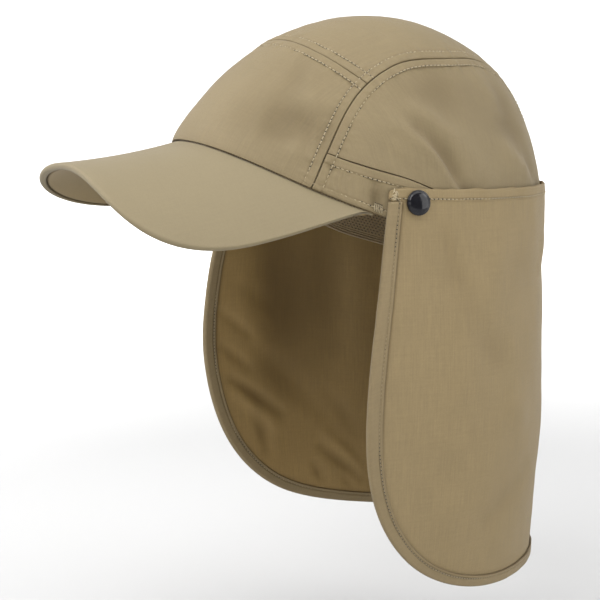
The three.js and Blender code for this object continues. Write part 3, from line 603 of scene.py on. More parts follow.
front_patch = patch(
    lambda s: on_rim(mix(-RIM_ANGLE, RIM_ANGLE, s)),
    lambda s: front_seam(mix(-FRONT_CORNER_SIDE, FRONT_CORNER_SIDE, s)),
    mirrored_run(RIM_CORNER, BAND_CORNER, FRONT_CORNER),
    seam_run(RIM_CORNER, BAND_CORNER, FRONT_CORNER),
)
top_patch = patch(
    lambda s: front_seam(mix(-FRONT_CORNER_SIDE, FRONT_CORNER_SIDE, s)),
    lambda s: band_line(round_nape(NAPE_ANGLE)(s)),
    lambda t: mirrored(top_run(t)),
    top_run,
)
side_patch = patch(
    lambda s: band_line(mix(BAND_ANGLE, NAPE_ANGLE, s)),
    seam_run(FRONT_CORNER, ARC_SEAM_REAR_CORNER),
    seam_run(BAND_CORNER, FRONT_CORNER),
    seam_run(NAPE_CORNER, ARC_SEAM_REAR_CORNER),
)
band_patch = patch(
    lambda s: on_rim(round_nape(RIM_ANGLE)(s)),
    lambda s: band_line(round_nape(BAND_ANGLE)(s)),
    mirrored_run(RIM_CORNER, BAND_CORNER),
    seam_run(RIM_CORNER, BAND_CORNER),
)


class Line:
    """A line on the cloth, to measure distances from."""

    def __init__(self, side, back):
        self.side, self.back = np.asarray(side), np.asarray(back)
        self.points = crown_point(self.side, self.back)
        steps = np.linalg.norm(np.diff(self.points, axis=0), axis=1)
        self.along = np.concatenate([[0], np.cumsum(steps)])
        self.tree = KDTree(len(self.points))
        for i, point in enumerate(self.points):
            self.tree.insert(point, i)
        self.tree.balance()

    def near(self, points):
        """Distance of each point from the line, and how far along the line it is."""
        flat = points.reshape(-1, 3)
        index = np.array([self.tree.find(point)[1] for point in flat])
        distance = np.full(len(flat), np.inf)
        along = np.zeros(len(flat))
        for step in (-1, 0):
            i = np.clip(index + step, 0, len(self.points) - 2)
            start, span = self.points[i], self.points[i + 1] - self.points[i]
            t = np.clip(((flat - start) * span).sum(1) / (span * span).sum(1), 0, 1)
            found = np.linalg.norm(flat - start - span * t[:, None], axis=1)
            closer = found < distance
            distance = np.where(closer, found, distance)
            along = np.where(closer, mix(self.along[i], self.along[i + 1], t), along)
        return distance.reshape(points.shape[:-1]), along.reshape(points.shape[:-1])


def crown_lines():
    backs = np.linspace(RIM_CORNER, NAPE_CORNER, LINE_POINTS["arc"])
    sides = np.linspace(-FRONT_CORNER_SIDE, FRONT_CORNER_SIDE, LINE_POINTS["front"])
    turns = np.linspace(0, 1, LINE_POINTS["band"])
    full = np.linspace(-math.pi, math.pi, LINE_POINTS["rim"])
    side, back = arc_seam(backs)
    return {
        "arc_left": Line(side, back),
        "arc_right": Line(-side, back),
        "front": Line(*front_seam(sides)),
        "band": Line(*band_line(round_nape(BAND_ANGLE)(turns))),
        "rim": Line(*on_rim(full)),
    }


# Crown panels: patch, size across and along, and each line with its stitch row or none
CROWN_PANELS = [
    {"name": "front_panel", "patch": front_patch, "size": (0.15, 0.11), "sign": 1, "open_bottom": True,
     "rows": {"arc_left": ROW_DISTANCE, "arc_right": ROW_DISTANCE, "front": ROW_DISTANCE, "rim": None}},
    {"name": "top_panel", "patch": top_patch, "size": (0.11, 0.24), "sign": 1,
     "rows": {"arc_left": ROW_DISTANCE, "arc_right": ROW_DISTANCE, "front": ROW_DISTANCE, "band": None}},
    {"name": "side_panel_left", "patch": side_patch, "size": (0.17, 0.075), "sign": 1,
     "rows": {"arc_left": ROW_DISTANCE, "band": None}},
    {"name": "side_panel_right", "patch": side_patch, "size": (0.17, 0.075), "sign": -1,
     "rows": {"arc_right": ROW_DISTANCE, "band": None}},
    {"name": "lower_band", "patch": band_patch, "size": (0.38, 0.021), "sign": 1, "open_bottom": True,
     "rows": {"arc_left": ROW_DISTANCE, "arc_right": ROW_DISTANCE, "band": ROW_DISTANCE,
              "rim": RIM_ROW_DISTANCE}},
]


def stations(width, coarse=COARSE_STEP):
    """Shares from 0 to 1 across a piece, close together near both its ends."""
    places = [0.0]
    while places[-1] < width / 2:
        places.append(places[-1] + min(coarse, FINE_STEP + STEP_GROWTH * places[-1]))
    half = np.array(places) * (0.5 / places[-1])
    return np.concatenate([half, (1 - half[:-1])[::-1]])


def seam_relief(distance, along, row, seed, depth=SEAM_DEPTH):
    """Height of the cloth beside a seam, with or without a row of stitches, and the painted shade in its
    groove and in the dip of its row.
    """
    valley = bell(distance, SEAM_WIDTH)
    relief = -depth * valley
    dark = valley
    if row:
        inside = smooth(0, PAD_FROM, distance) * (1 - smooth(row - PAD_EDGE, row + PAD_EDGE, distance))
        dip = bell(distance - row, ROW_WIDTH)
        reach = bell(distance - row, PUCKER_REACH)
        pucker = wave(along, PUCKER_PITCH, seed) * reach
        relief = relief + PAD_HEIGHT * inside - ROW_DEPTH * dip + PUCKER_HEIGHT * pucker
        dark = dark + ROW_SHADE * dip
    return relief, dark


def shade_of(height, most=CREASE_SHADE_MOST):
    """Painted shade at the bottom of a fold, darker the deeper it dips."""
    return np.clip(-height * CREASE_SHADE, 0, most)


def crown_relief(outer, side, back, rows, lines, seed):
    relief = crown_fold(side, back, CROWN_CREASES)
    # Painted shade in the hollows of the folds, the seam grooves and the stitch rows
    dark = shade_of(relief + crown_fold(side, back))
    relief = relief + SLACK_HEIGHT * ripple(outer, SLACK_SIZE, seed)
    relief = relief + CRINKLE_HEIGHT * ripple(outer, CRINKLE_SIZE, seed + 1)
    for k, (name, row) in enumerate(rows.items()):
        distance, along = lines[name].near(outer)
        depth = RIM_DEPTH if name == "rim" else SEAM_DEPTH
        height, shade = seam_relief(distance, along, row, 10 * seed + k, depth)
        relief = relief + height
        dark = dark + shade
    return relief, np.clip(dark, 0, 1)


def cloth_map(points):
    """Distances along the cloth across and down, for the weave."""
    across = np.linalg.norm(np.diff(points, axis=1), axis=2)
    down = np.linalg.norm(np.diff(points, axis=0), axis=2)
    u = np.concatenate([np.zeros((points.shape[0], 1)), np.cumsum(across, axis=1)], axis=1)
    v = np.concatenate([np.zeros((1, points.shape[1])), np.cumsum(down, axis=0)], axis=0)
    u = u - u[:, points.shape[1] // 2][:, None]
    return np.stack([u, v], axis=-1)


def mesh_piece(name, points, faces, uv, dark, material, inside=None):
    """A smooth mesh with its weave map, the painted shade of its creases and seams, and the share of its
    wrong side.
    """
    mesh = bpy.data.meshes.new(name)
    mesh.from_pydata(points.tolist(), [], faces.tolist())
    volume = 0.0
    corner = points[faces]
    for a, b, c in ((0, 1, 2), (0, 2, 3)):
        volume += np.einsum("ij,ij->", corner[:, a], np.cross(corner[:, b], corner[:, c]))
    if volume < 0:
        mesh.flip_normals()
    mesh.polygons.foreach_set("use_smooth", np.ones(len(mesh.polygons), bool))
    index = np.zeros(len(mesh.loops), np.int32)
    mesh.loops.foreach_get("vertex_index", index)
    layer = mesh.uv_layers.new(name="cloth")
    layer.data.foreach_set("uv", uv[index].astype(np.float32).ravel())
    shade = mesh.attributes.new("painted_shade", "FLOAT", "POINT")
    shade.data.foreach_set("value", dark.astype(np.float32))
    if inside is not None:
        wrong_side = mesh.attributes.new("inside", "FLOAT", "POINT")
        wrong_side.data.foreach_set("value", inside.astype(np.float32))
    mesh.materials.append(material)
    mesh.update()
    return add_object(name, mesh)


def grid_faces(rows, columns, offset, turned):
    i, j = np.meshgrid(np.arange(columns - 1), np.arange(rows - 1))
    a = (offset + j * columns + i).ravel()
    quads = np.stack([a, a + 1, a + 1 + columns, a + columns], axis=1)
    return quads[:, ::-1] if turned else quads


def strip_faces(first, second):
    return np.stack([first[:-1], second[:-1], second[1:], first[1:]], axis=1)


def sheet_piece(name, outer, inner, uv, dark, material, inner_dark=None):
    """Closed sheet of cloth between an outer and an inner grid of points."""
    rows, columns = outer.shape[:2]
    count = rows * columns
    index = np.arange(count).reshape(rows, columns)
    faces = [
        grid_faces(rows, columns, 0, False),
        grid_faces(rows, columns, count, True),
        strip_faces(index[0], index[0] + count),
        strip_faces(index[-1][::-1], index[-1][::-1] + count),
        strip_faces(index[::-1, 0], index[::-1, 0] + count),
        strip_faces(index[:, -1], index[:, -1] + count),
    ]
    points = np.concatenate([outer.reshape(-1, 3), inner.reshape(-1, 3)])
    maps = np.tile(uv.reshape(-1, 2), (2, 1))
    shades = np.concatenate([dark.ravel(), (dark if inner_dark is None else inner_dark).ravel()])
    inside = np.repeat([0.0, 1.0], count)
    return mesh_piece(name, points, np.concatenate(faces), maps, shades, material, inside)


def ring_piece(name, sections, uv, dark, material, joined):
    """Bar through a list of closed sections; it is joined to itself or has flat ends."""
    count, size = sections.shape[:2]
    index = np.arange(count * size).reshape(count, size)
    follow = np.roll(index, -1, axis=0) if joined else index[1:]
    here = index if joined else index[:-1]
    quads = np.stack([here, np.roll(here, -1, axis=1), np.roll(follow, -1, axis=1), follow], axis=2)
    faces = [quads.reshape(-1, 4)]
    if not joined:
        half = size // 2
        for end, turned in ((index[0], False), (index[-1], True)):
            first, second = end[:half], end[::-1][:half]
            cap = strip_faces(first, second)
            faces.append(cap[:, ::-1] if turned else cap)
    return mesh_piece(name, sections.reshape(-1, 3), np.concatenate(faces), uv.reshape(-1, 2),
                      dark.ravel(), material)


def one_side_area(grid):
    a = np.linalg.norm(np.cross(grid[1:, :-1] - grid[:-1, :-1], grid[:-1, 1:] - grid[:-1, :-1]), axis=2)
    return float(a.sum())


def dress(piece, node):
    """Hands a finished piece to the frame in place of its solid."""
    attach(piece, "root")
    if node:
        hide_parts(node)


def cover_node(name, material):
    """Gives a solid that stays in the scene its finish."""
    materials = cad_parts[name].data.materials
    materials.clear()
    materials.append(material)


class Term:
    """A socket of a node tree, with arithmetic."""

    def __init__(self, graph, socket):
        self.graph = graph
        self.socket = socket

    def output(self, name):
        return Term(self.graph, self.socket.node.outputs[name])

    def __add__(self, other):
        return self.graph.math("ADD", self, other)

    def __radd__(self, other):
        return self.graph.math("ADD", other, self)

    def __sub__(self, other):
        return self.graph.math("SUBTRACT", self, other)

    def __rsub__(self, other):
        return self.graph.math("SUBTRACT", other, self)

    def __mul__(self, other):
        return self.graph.math("MULTIPLY", self, other)

    def __rmul__(self, other):
        return self.graph.math("MULTIPLY", other, self)

    def __truediv__(self, other):
        return self.graph.math("DIVIDE", self, other)

    def __rtruediv__(self, other):
        return self.graph.math("DIVIDE", other, self)

    def __neg__(self):
        return self.graph.math("MULTIPLY", self, -1.0)

class Graph:
    """Adds nodes to a tree by their type, settings and inputs."""

    def __init__(self, tree):
        self.tree = tree
        tree.nodes.clear()

    def node(self, kind, settings=None, inputs=None, output=0):
        made = self.tree.nodes.new(kind)
        for name, value in (settings or {}).items():
            setattr(made, name, value)
        for name, value in (inputs or {}).items():
            if isinstance(value, Term):
                self.tree.links.new(value.socket, made.inputs[name])
            else:
                made.inputs[name].default_value = value
        return Term(self, made.outputs[output]) if len(made.outputs) else made

    def link(self, value, target, name):
        """Adds one more link to an input that takes several."""
        self.tree.links.new(value.socket, target.socket.node.inputs[name])

    def math(self, operation, *values):
        return self.node("ShaderNodeMath", {"operation": operation}, dict(enumerate(values)))

    def clamp(self, value, low=0.0, high=1.0):
        return self.math("MINIMUM", self.math("MAXIMUM", value, low), high)

    def blend(self, factor, first, second):
        """Colour between two colours."""
        ends = {6: first, 7: second}
        ends = {k: c if isinstance(c, Term) else (*c, 1.0) for k, c in ends.items()}
        return self.node("ShaderNodeMix", {"data_type": "RGBA"}, {0: factor, **ends}, output=2)

    def noise(self, vector, scale, detail=2.0, roughness=0.5):
        values = {"Vector": vector, "Scale": scale, "Detail": detail, "Roughness": roughness}
        return self.node("ShaderNodeTexNoise", None, values)

    def vector(self, x, y, z):
        return self.node("ShaderNodeCombineXYZ", None, {0: x, 1: y, 2: z})


class Finish(Graph):
    """A material."""

    def __init__(self, name):
        self.material = bpy.data.materials.new(name)
        self.material.use_nodes = True
        super().__init__(self.material.node_tree)

    def pattern(self):
        """Place on the cloth's own map, across and along, in metres."""
        place = self.node("ShaderNodeUVMap", {"uv_map": "cloth"})
        parts = self.node("ShaderNodeSeparateXYZ", None, {0: place})
        return parts.output("X"), parts.output("Y")

    def body(self):
        return self.node("ShaderNodeTexCoord", None, None, output="Object")

    def bump(self, height, distance, strength=1.0):
        values = {"Height": height, "Distance": distance, "Strength": strength}
        return self.node("ShaderNodeBump", None, values)

    def finish(self, colour, roughness, normal=None, **fixed):
        values = {"Base Color": colour, "Roughness": roughness}
        if normal is not None:
            values["Normal"] = normal
        values.update({name.replace("_", " "): value for name, value in fixed.items()})
        shader = self.node("ShaderNodeBsdfPrincipled", None, values)
        self.node("ShaderNodeOutputMaterial", None, {"Surface": shader})
        return self.material


def woven_cloth(name, colour, contrast=0.16, thread=0.00042, streak=1.0, depth=0.00009):
    """Tight plain weave with slubs, a little sheen, uneven dye, painted shade in its creases and seams, and
    a warmer tint painted on its wrong side as shade.
    """
    f = Finish(name)
    across, along = f.pattern()
    warp = f.math("SINE", across * (2 * math.pi / thread))
    weft = f.math("SINE", along * (2 * math.pi / thread))
    slub_warp = f.noise(f.vector(across * 1500.0, along * 55.0, 0.0), 1.0, 3.0, 0.6)
    slub_weft = f.noise(f.vector(across * 60.0, along * 1300.0, 7.0), 1.0, 3.0, 0.6)
    cloud = f.noise(f.body(), 34.0, 3.0, 0.55)
    grain = f.noise(f.body(), 900.0, 2.0, 0.6)
    tone = 0.5 + (slub_warp - 0.5) * (1.1 * streak) + (slub_weft - 0.5) * (0.45 * streak)
    tone = f.clamp(tone + (cloud - 0.5) * 0.35 + (grain - 0.5) * 0.5 + warp * weft * 0.08)
    darker = tuple(c * (1 - contrast) for c in colour)
    lighter = tuple(min(c * (1 + contrast), 1.0) for c in colour)
    dyed = f.blend(tone, darker, lighter)
    # Painted shade in creases, seam grooves and stitch rows darkens the dye toward a deep colour; the wrong
    # side is painted warmer as shade
    painted_shade = f.node("ShaderNodeAttribute", {"attribute_name": "painted_shade"}, None, output="Fac")
    inside = f.node("ShaderNodeAttribute", {"attribute_name": "inside"}, None, output="Fac")
    warm_shade = f.blend(tone, tuple(c * w for c, w in zip(darker, WRONG_SIDE_SHADE_TINT)),
                   tuple(c * w for c, w in zip(lighter, WRONG_SIDE_SHADE_TINT)))
    deep = tuple(c * d for c, d in zip(colour, DEEP_SHADE))
    shaded = f.blend(painted_shade * 0.72, f.blend(inside, dyed, warm_shade), deep)
    height = warp * weft * 0.3 + slub_warp * 0.9 + slub_weft * 0.6 + grain * 0.3
    rough = f.clamp(0.66 + (slub_warp - 0.5) * 0.25 + painted_shade * 0.2)
    return f.finish(shaded, rough, f.bump(height, depth, 0.8), Sheen_Weight=0.04, Sheen_Roughness=0.45,
                    Specular_IOR_Level=0.24)


def knit_cloth(name, colour):
    """Open knit: rows of small offset loops whose holes are painted dark as shade, and plain ribs along the
    lower edge with painted shade between them.
    """
    f = Finish(name)
    across, along = f.pattern()
    sway = f.noise(f.body(), 260.0, 2.0, 0.5) - 0.5
    across = across + sway * 0.0014
    row = along / 0.00155 + sway * 0.5
    shift = f.math("FLOOR", row) * 0.5
    hole_u = f.math("FRACT", across / 0.0021 + shift) - 0.5
    hole_v = f.math("FRACT", row) - 0.5
    spread = hole_u * hole_u * 6.0 + hole_v * hole_v * 8.0
    hole = f.clamp(1.05 - spread * 1.3)
    mesh_part = f.clamp((along - 0.0042) * 1500.0)
    fibre = f.noise(f.body(), 1400.0, 3.0, 0.6)
    cloud = f.noise(f.body(), 60.0, 2.0, 0.5)
    open_share = hole * mesh_part
    tone = f.clamp(0.35 + fibre * 0.5 + cloud * 0.2)
    yarn = f.blend(tone, tuple(c * 0.8 for c in colour), tuple(c * 1.2 for c in colour))
    painted_shade = f.node("ShaderNodeAttribute", {"attribute_name": "painted_shade"}, None, output="Fac")
    # The holes are painted dark as the shade inside them; the painted shade attribute darkens the rib
    # hollows
    holed = f.blend(open_share * 0.75, yarn, tuple(c * 0.22 for c in colour))
    shaded = f.blend(painted_shade * 0.7, holed, tuple(c * 0.35 for c in colour))
    height = fibre * 0.25 - open_share
    return f.finish(shaded, f.clamp(0.85 + fibre * 0.1), f.bump(height, 0.0005, 0.9),
                    Sheen_Weight=0.3, Sheen_Roughness=0.6, Specular_IOR_Level=0.2)


def thread_finish(name, colour):
    """Spun thread: a twist of light and dark along each stitch."""
    f = Finish(name)
    twist = f.noise(f.body(), 2600.0, 2.0, 0.6)
    cloud = f.noise(f.body(), 90.0, 2.0, 0.5)
    tone = f.clamp(twist * 0.8 + cloud * 0.3 - 0.05)
    spun = f.blend(tone, tuple(c * 0.72 for c in colour), tuple(c * 1.2 for c in colour))
    return f.finish(spun, f.clamp(0.6 + twist * 0.2), f.bump(twist, 0.0001, 0.7),
                    Sheen_Weight=0.15, Specular_IOR_Level=0.35)


def enamel_finish(name, colour):
    """Glossy black enamel with a faint haze of fine scratches."""
    f = Finish(name)
    haze = f.noise(f.body(), 700.0, 3.0, 0.6)
    speck = f.noise(f.body(), 2600.0, 2.0, 0.5)
    shade = f.blend(haze, colour, tuple(c * 2.2 for c in colour))
    rough = f.clamp(0.05 + haze * 0.05 + speck * 0.02)
    return f.finish(shade, rough, f.bump(haze, 0.00002, 0.2), Specular_IOR_Level=0.2, Coat_Weight=0.3,
                    Coat_Roughness=0.04)


def pile_finish(name, colour):
    """Short looped pile of a fastening strip."""
    f = Finish(name)
    loops = f.noise(f.body(), 1800.0, 3.0, 0.7)
    cloud = f.noise(f.body(), 120.0, 2.0, 0.5)
    tone = f.clamp(loops * 0.8 + cloud * 0.3)
    shade = f.blend(tone, tuple(c * 0.6 for c in colour), tuple(c * 1.25 for c in colour))
    return f.finish(shade, f.clamp(0.8 + loops * 0.15), f.bump(loops, 0.0004, 0.8), Sheen_Weight=0.3)


FINISHES = {}


def finishes():
    """The cap's materials, made once from the colours in the panel."""
    if not FINISHES:
        c = bpy.context.scene.cap_colours
        FINISHES.update({
            "crown": woven_cloth("khaki_cloth", c.cloth[:]),
            "flap": woven_cloth("khaki_flap_cloth", c.flap[:], streak=1.2),
            "peak": woven_cloth("khaki_peak_cloth", c.peak[:], contrast=0.1, streak=0.7, depth=0.00005),
            "tape": woven_cloth("khaki_tape", c.tape[:], contrast=0.16, thread=0.0006, streak=0.8),
            "knit": knit_cloth("knitted_band", c.knit[:]),
            "under": woven_cloth("khaki_under_cloth", c.under[:], contrast=0.14),
            "thread": thread_finish("sewing_thread", c.thread[:]),
            "binding_thread": thread_finish("binding_thread", c.binding_thread[:]),
            # Needle holes: near-black cones at the stitch ends, painted shade in the holes
            "hole": thread_finish("needle_hole_shade", tuple(x * 0.1 for x in c.cloth[:])),
            "enamel": enamel_finish("black_enamel", c.snap[:]),
            "pile": pile_finish("fastener_pile", c.tape[:]),
        })
    return FINISHES


def stitch_tree():
    """Stitches along every line of a mesh of edges, standing on its up directions."""
    tree = bpy.data.node_groups.new("stitches", "GeometryNodeTree")
    face = tree.interface
    face.new_socket("Lines", in_out="INPUT", socket_type="NodeSocketGeometry")
    for name in ("Pitch", "Length", "Thickness", "Rise", "Slant", "Hole"):
        face.new_socket(name, in_out="INPUT", socket_type="NodeSocketFloat")
    face.new_socket("Seed", in_out="INPUT", socket_type="NodeSocketInt")
    face.new_socket("Thread", in_out="INPUT", socket_type="NodeSocketMaterial")
    face.new_socket("Hole shade", in_out="INPUT", socket_type="NodeSocketMaterial")
    face.new_socket("Stitches", in_out="OUTPUT", socket_type="NodeSocketGeometry")
    g = Graph(tree)
    given = g.node("NodeGroupInput")
    length, rise = given.output("Length"), given.output("Rise")
    slant = given.output("Slant")
    lines = g.node("GeometryNodeMeshToCurve", None, {"Mesh": given.output("Lines")})
    places = g.node("GeometryNodeResampleCurve", {"mode": "LENGTH"},
                    {"Curve": lines, "Length": given.output("Pitch")})
    up = g.node("GeometryNodeInputNamedAttribute", {"data_type": "FLOAT_VECTOR"}, {"Name": "up"})
    turn = g.node("FunctionNodeAxesToRotation", {"primary_axis": "X", "secondary_axis": "Z"},
                  {"Primary Axis": g.node("GeometryNodeInputTangent"), "Secondary Axis": up})
    lean = g.node("FunctionNodeRandomValue", {"data_type": "FLOAT"},
                  {2: -slant, 3: slant, 8: given.output("Seed")}, output=1)
    spin = g.node("FunctionNodeAxisAngleToRotation", None, {"Axis": (0, 0, 1), "Angle": lean})
    rotation = g.node("FunctionNodeRotateRotation", {"rotation_space": "LOCAL"},
                      {"Rotation": turn, "Rotate By": spin})
    bow = g.node("GeometryNodeCurveQuadraticBezier", None, {
        "Resolution": 4,
        "Start": g.vector(length * -0.5, 0.0, rise * -BOW_SINK),
        "Middle": g.vector(0.0, 0.0, rise * BOW_RISE),
        "End": g.vector(length * 0.5, 0.0, rise * -BOW_SINK),
    })
    round_section = g.node("GeometryNodeCurvePrimitiveCircle", None,
                           {"Resolution": 5, "Radius": given.output("Thickness") * 0.5})
    stitch = g.node("GeometryNodeCurveToMesh", None,
                    {"Curve": bow, "Profile Curve": round_section, "Fill Caps": True})
    soft = g.node("GeometryNodeSetShadeSmooth", None, {"Geometry": stitch})
    # A dark cone sunk after each stitch: painted shade in its needle hole
    hole = given.output("Hole")
    cone = g.node("GeometryNodeMeshCone", {"fill_type": "NGON"},
                  {"Vertices": 6, "Radius Top": 0.0, "Radius Bottom": hole, "Depth": hole * HOLE_DEPTH})
    pit = g.node("GeometryNodeTransform", None, {
        "Geometry": cone,
        "Translation": g.vector(length * 0.5 + hole * HOLE_BEYOND, 0.0, hole * -HOLE_SINK),
    })
    both = g.node("GeometryNodeJoinGeometry")
    for shape, material in ((soft, "Thread"), (pit, "Hole shade")):
        laid = g.node("GeometryNodeInstanceOnPoints", None,
                      {"Points": places, "Instance": shape, "Rotation": rotation})
        real = g.node("GeometryNodeRealizeInstances", None, {"Geometry": laid})
        g.link(g.node("GeometryNodeSetMaterial", None,
                      {"Geometry": real, "Material": given.output(material)}), both, "Geometry")
    g.node("NodeGroupOutput", None, {"Stitches": both})
    return tree


def sew(name, lines, **sizes):
    """Makes stitches along lines, each a list of points and of up directions, as one mesh."""
    points, ups, edges = [], [], []
    for line, up in lines:
        start = len(points)
        points.extend(line.tolist())
        ups.extend(up.tolist())
        edges.extend((start + i, start + i + 1) for i in range(len(line) - 1))
    mesh = bpy.data.meshes.new(name)
    mesh.from_pydata(points, edges, [])
    stored = mesh.attributes.new("up", "FLOAT_VECTOR", "POINT")
    stored.data.foreach_set("vector", np.array(ups, np.float32).ravel())
    piece = add_object(name, mesh)
    tree = bpy.data.node_groups.get("stitches") or stitch_tree()
    modifier = piece.modifiers.new("stitches", "NODES")
    modifier.node_group = tree
    given = {**stitch_sizes(), **sizes}
    for item in tree.interface.items_tree:
        if item.name in given:
            modifier[item.identifier] = given[item.name]
    graph = bpy.context.evaluated_depsgraph_get()
    plain = bpy.data.meshes.new_from_object(piece.evaluated_get(graph))
    piece.modifiers.clear()
    piece.data = plain
    plain.name = name
    return piece


def stitch_sizes():
    sizes = bpy.context.scene.cap_sizes
    return {
        "Pitch": sizes.stitch_pitch,
        "Length": sizes.stitch_length,
        "Thickness": sizes.thread_thickness,
        "Rise": sizes.thread_thickness * 0.5,
        "Slant": sizes.stitch_slant,
        "Seed": 4,
        "Hole": sizes.needle_hole,
        "Thread": finishes()["thread"],
        "Hole shade": finishes()["hole"],
    }


class Skin:
    """Finished cloth that stitches are laid on."""

    def __init__(self, *names):
        points, faces = [], []
        for name in names:
            mesh = bpy.data.objects[name].data
            start = len(points)
            points.extend(v.co.copy() for v in mesh.vertices)
            faces.extend([start + i for i in p.vertices] for p in mesh.polygons)
        self.tree = BVHTree.FromPolygons(points, faces)

    def line(self, guesses, normals, keep=None):
        """Points on the cloth nearest to the guesses, with the directions out of it."""
        laid, ups = [], []
        for guess, normal in zip(guesses, normals):
            spot = Vector(guess) + Vector(normal) * SKIN_REACH
            laid.append(np.array(self.tree.find_nearest(spot)[0]))
            ups.append(np.array(normal))
        laid, ups = np.array(laid), np.array(ups)
        if keep is None:
            return [(laid, ups)]
        runs = np.split(np.arange(len(keep)), np.where(np.diff(keep.astype(int)))[0] + 1)
        return [(laid[run], ups[run]) for run in runs if keep[run[0]] and len(run) > SHORTEST_RUN]


class CapSizes(bpy.types.PropertyGroup):
    stitch_pitch: bpy.props.FloatProperty(
        name="Stitch pitch", description="From one stitch to the next", default=0.0023, unit="LENGTH")
    stitch_length: bpy.props.FloatProperty(
        name="Stitch length", description="Length of a stitch on top", default=0.0015, unit="LENGTH")
    needle_hole: bpy.props.FloatProperty(
        name="Needle hole", description="Radius of the hole after each stitch", default=0.0004,
        unit="LENGTH")
    thread_thickness: bpy.props.FloatProperty(
        name="Thread", description="Thickness of the sewing thread", default=0.0005, unit="LENGTH")
    stitch_slant: bpy.props.FloatProperty(
        name="Slant", description="Largest turn of a stitch off its row", default=0.16, subtype="ANGLE")
    floor_drop: bpy.props.FloatProperty(
        name="Floor drop", description="Height of the cap over the floor", default=0.06, unit="LENGTH")


def colour_property(name, default):
    return bpy.props.FloatVectorProperty(
        name=name, description=f"Colour of the {name.lower()}", default=default, subtype="COLOR",
        min=0.0, max=1.0)


class CapColours(bpy.types.PropertyGroup):
    cloth: colour_property("Crown cloth", (0.172, 0.133, 0.072))
    flap: colour_property("Flap cloth", (0.192, 0.143, 0.072))
    peak: colour_property("Peak cloth", (0.177, 0.144, 0.085))
    under: colour_property("Cloth under the peak", (0.21, 0.157, 0.078))
    tape: colour_property("Binding tape", (0.172, 0.13, 0.069))
    knit: colour_property("Knitted band", (0.23, 0.17, 0.09))
    thread: colour_property("Thread", (0.3, 0.245, 0.148))
    binding_thread: colour_property("Thread of the binding", (0.21, 0.165, 0.093))
    snap: colour_property("Snap", (0.003, 0.003, 0.004))
    floor: colour_property("Floor", (0.5, 0.5, 0.5))


class CAP_OT_crown(bpy.types.Operator):
    """Sews the crown: front, top and side panels and the lower band"""

    bl_idname = "cap.crown"
    bl_label = "Crown"

    def execute(self, context):
        lines = crown_lines()
        for seed, row in enumerate(CROWN_PANELS, 1):
            across, along = row["size"]
            s = stations(across)[None, :]
            t = stations(along)[:, None]
            low = 0.0 if row.get("open_bottom") else PANEL_GAP / along
            s = mix(PANEL_GAP / across, 1 - PANEL_GAP / across, s)
            t = mix(low, 1 - PANEL_GAP / along, t)
            side, back = row["patch"](s, t)
            side = side * row["sign"]
            normal = crown_normal(side, back)
            outer = crown_point(side, back)
            relief, dark = crown_relief(outer, side, back, row["rows"], lines, seed)
            outer = outer + normal * relief[..., None]
            dent = crown_fold(side, back, CROWN_CREASES)
            follow = mix(dent, relief, INNER_FOLLOW)
            inner = crown_point(side, back, -CROWN_WALL) + normal * follow[..., None]
            piece = sheet_piece(row["name"], outer, inner, cloth_map(outer), dark, finishes()["crown"])
            dress(piece, row["name"])
            area = one_side_area(outer)
            cut_size(area, across / along)
        return {"FINISHED"}


def cut_size(area, shape):
    """Width and length of the piece of cloth that a panel of this area is cut from."""
    blank = area / BLANK_USE
    return math.sqrt(blank * shape), math.sqrt(blank / shape)


def seam_at(angle):
    """The peak's seam, just inside the crown's rim."""
    return rim_point(angle) * (np.array([1, 1, 1]) - np.array([1, 1, 0]) * PEAK_SEAT_INSET / HEAD_SIDE)


def flat_width(x):
    return PEAK_BEND * np.arcsin(np.clip(x / PEAK_BEND, -1, 1))


PEAK_END = seam_at(PEAK_END_ANGLE)
PEAK_HALF_WIDTH = flat_width(PEAK_END[0]) - PEAK_CORNER_IN
PEAK_CORNER_BACK = PEAK_CORNER_AHEAD - PEAK_END[1]
PEAK_SAG = PEAK_BEND * (1 - math.cos(flat_width(PEAK_END[0]) / PEAK_BEND))
PEAK_FALL = PEAK_END[2] - rim_point(0.0)[2] + PEAK_SAG + PEAK_CORNER_DROP
PEAK_SLOPE = PEAK_FALL / (PEAK_END[1] + HEAD_FRONT)


def bent_peak(across, y):
    """Flat pattern of the peak, bent round a lengthwise axis."""
    forward = np.clip((-y - HEAD_FRONT) / (PEAK_CORNER_BACK + PEAK_REACH - HEAD_FRONT), 0, 1)
    tip = np.where(across > 0, PEAK_TIP_BEND["left"], PEAK_TIP_BEND["right"])
    bend = PEAK_BEND * mix(1, tip, forward)
    fall = PEAK_SLOPE * (y + HEAD_FRONT) + PEAK_TIP_LIFT * forward * forward
    z = rim_point(0.0)[2] + fall - bend * (1 - np.cos(across / bend))
    return np.stack([bend * np.sin(across / bend), y + 0 * bend, z], axis=-1)


def squared_oval(share, power):
    return (1 - np.minimum(np.abs(share), 1) ** power) ** (1 / power)


PEAK_HALF_STEP = 0.5 ** (1 / PEAK_POWER)


def peak_outline(turn):
    size = np.abs(turn)
    on_tip = size < 0.5
    wide_tip = size * 2 * PEAK_HALF_STEP
    long_side = (1 - size) * 2 * PEAK_HALF_STEP
    wide = np.where(on_tip, wide_tip, squared_oval(long_side, PEAK_POWER))
    long = np.where(on_tip, squared_oval(wide_tip, PEAK_POWER), long_side)
    return np.sign(turn) * wide * PEAK_HALF_WIDTH, -PEAK_CORNER_BACK - long * PEAK_REACH


def peak_pattern(turn, out):
    """Place on the flat pattern: out is 0 under the crown's rim and 1 at the edge."""
    seam = seam_at(turn * PEAK_END_ANGLE)
    across, y = peak_outline(turn)
    return mix(flat_width(seam[..., 0]), across, out), mix(seam[..., 1], y, out)


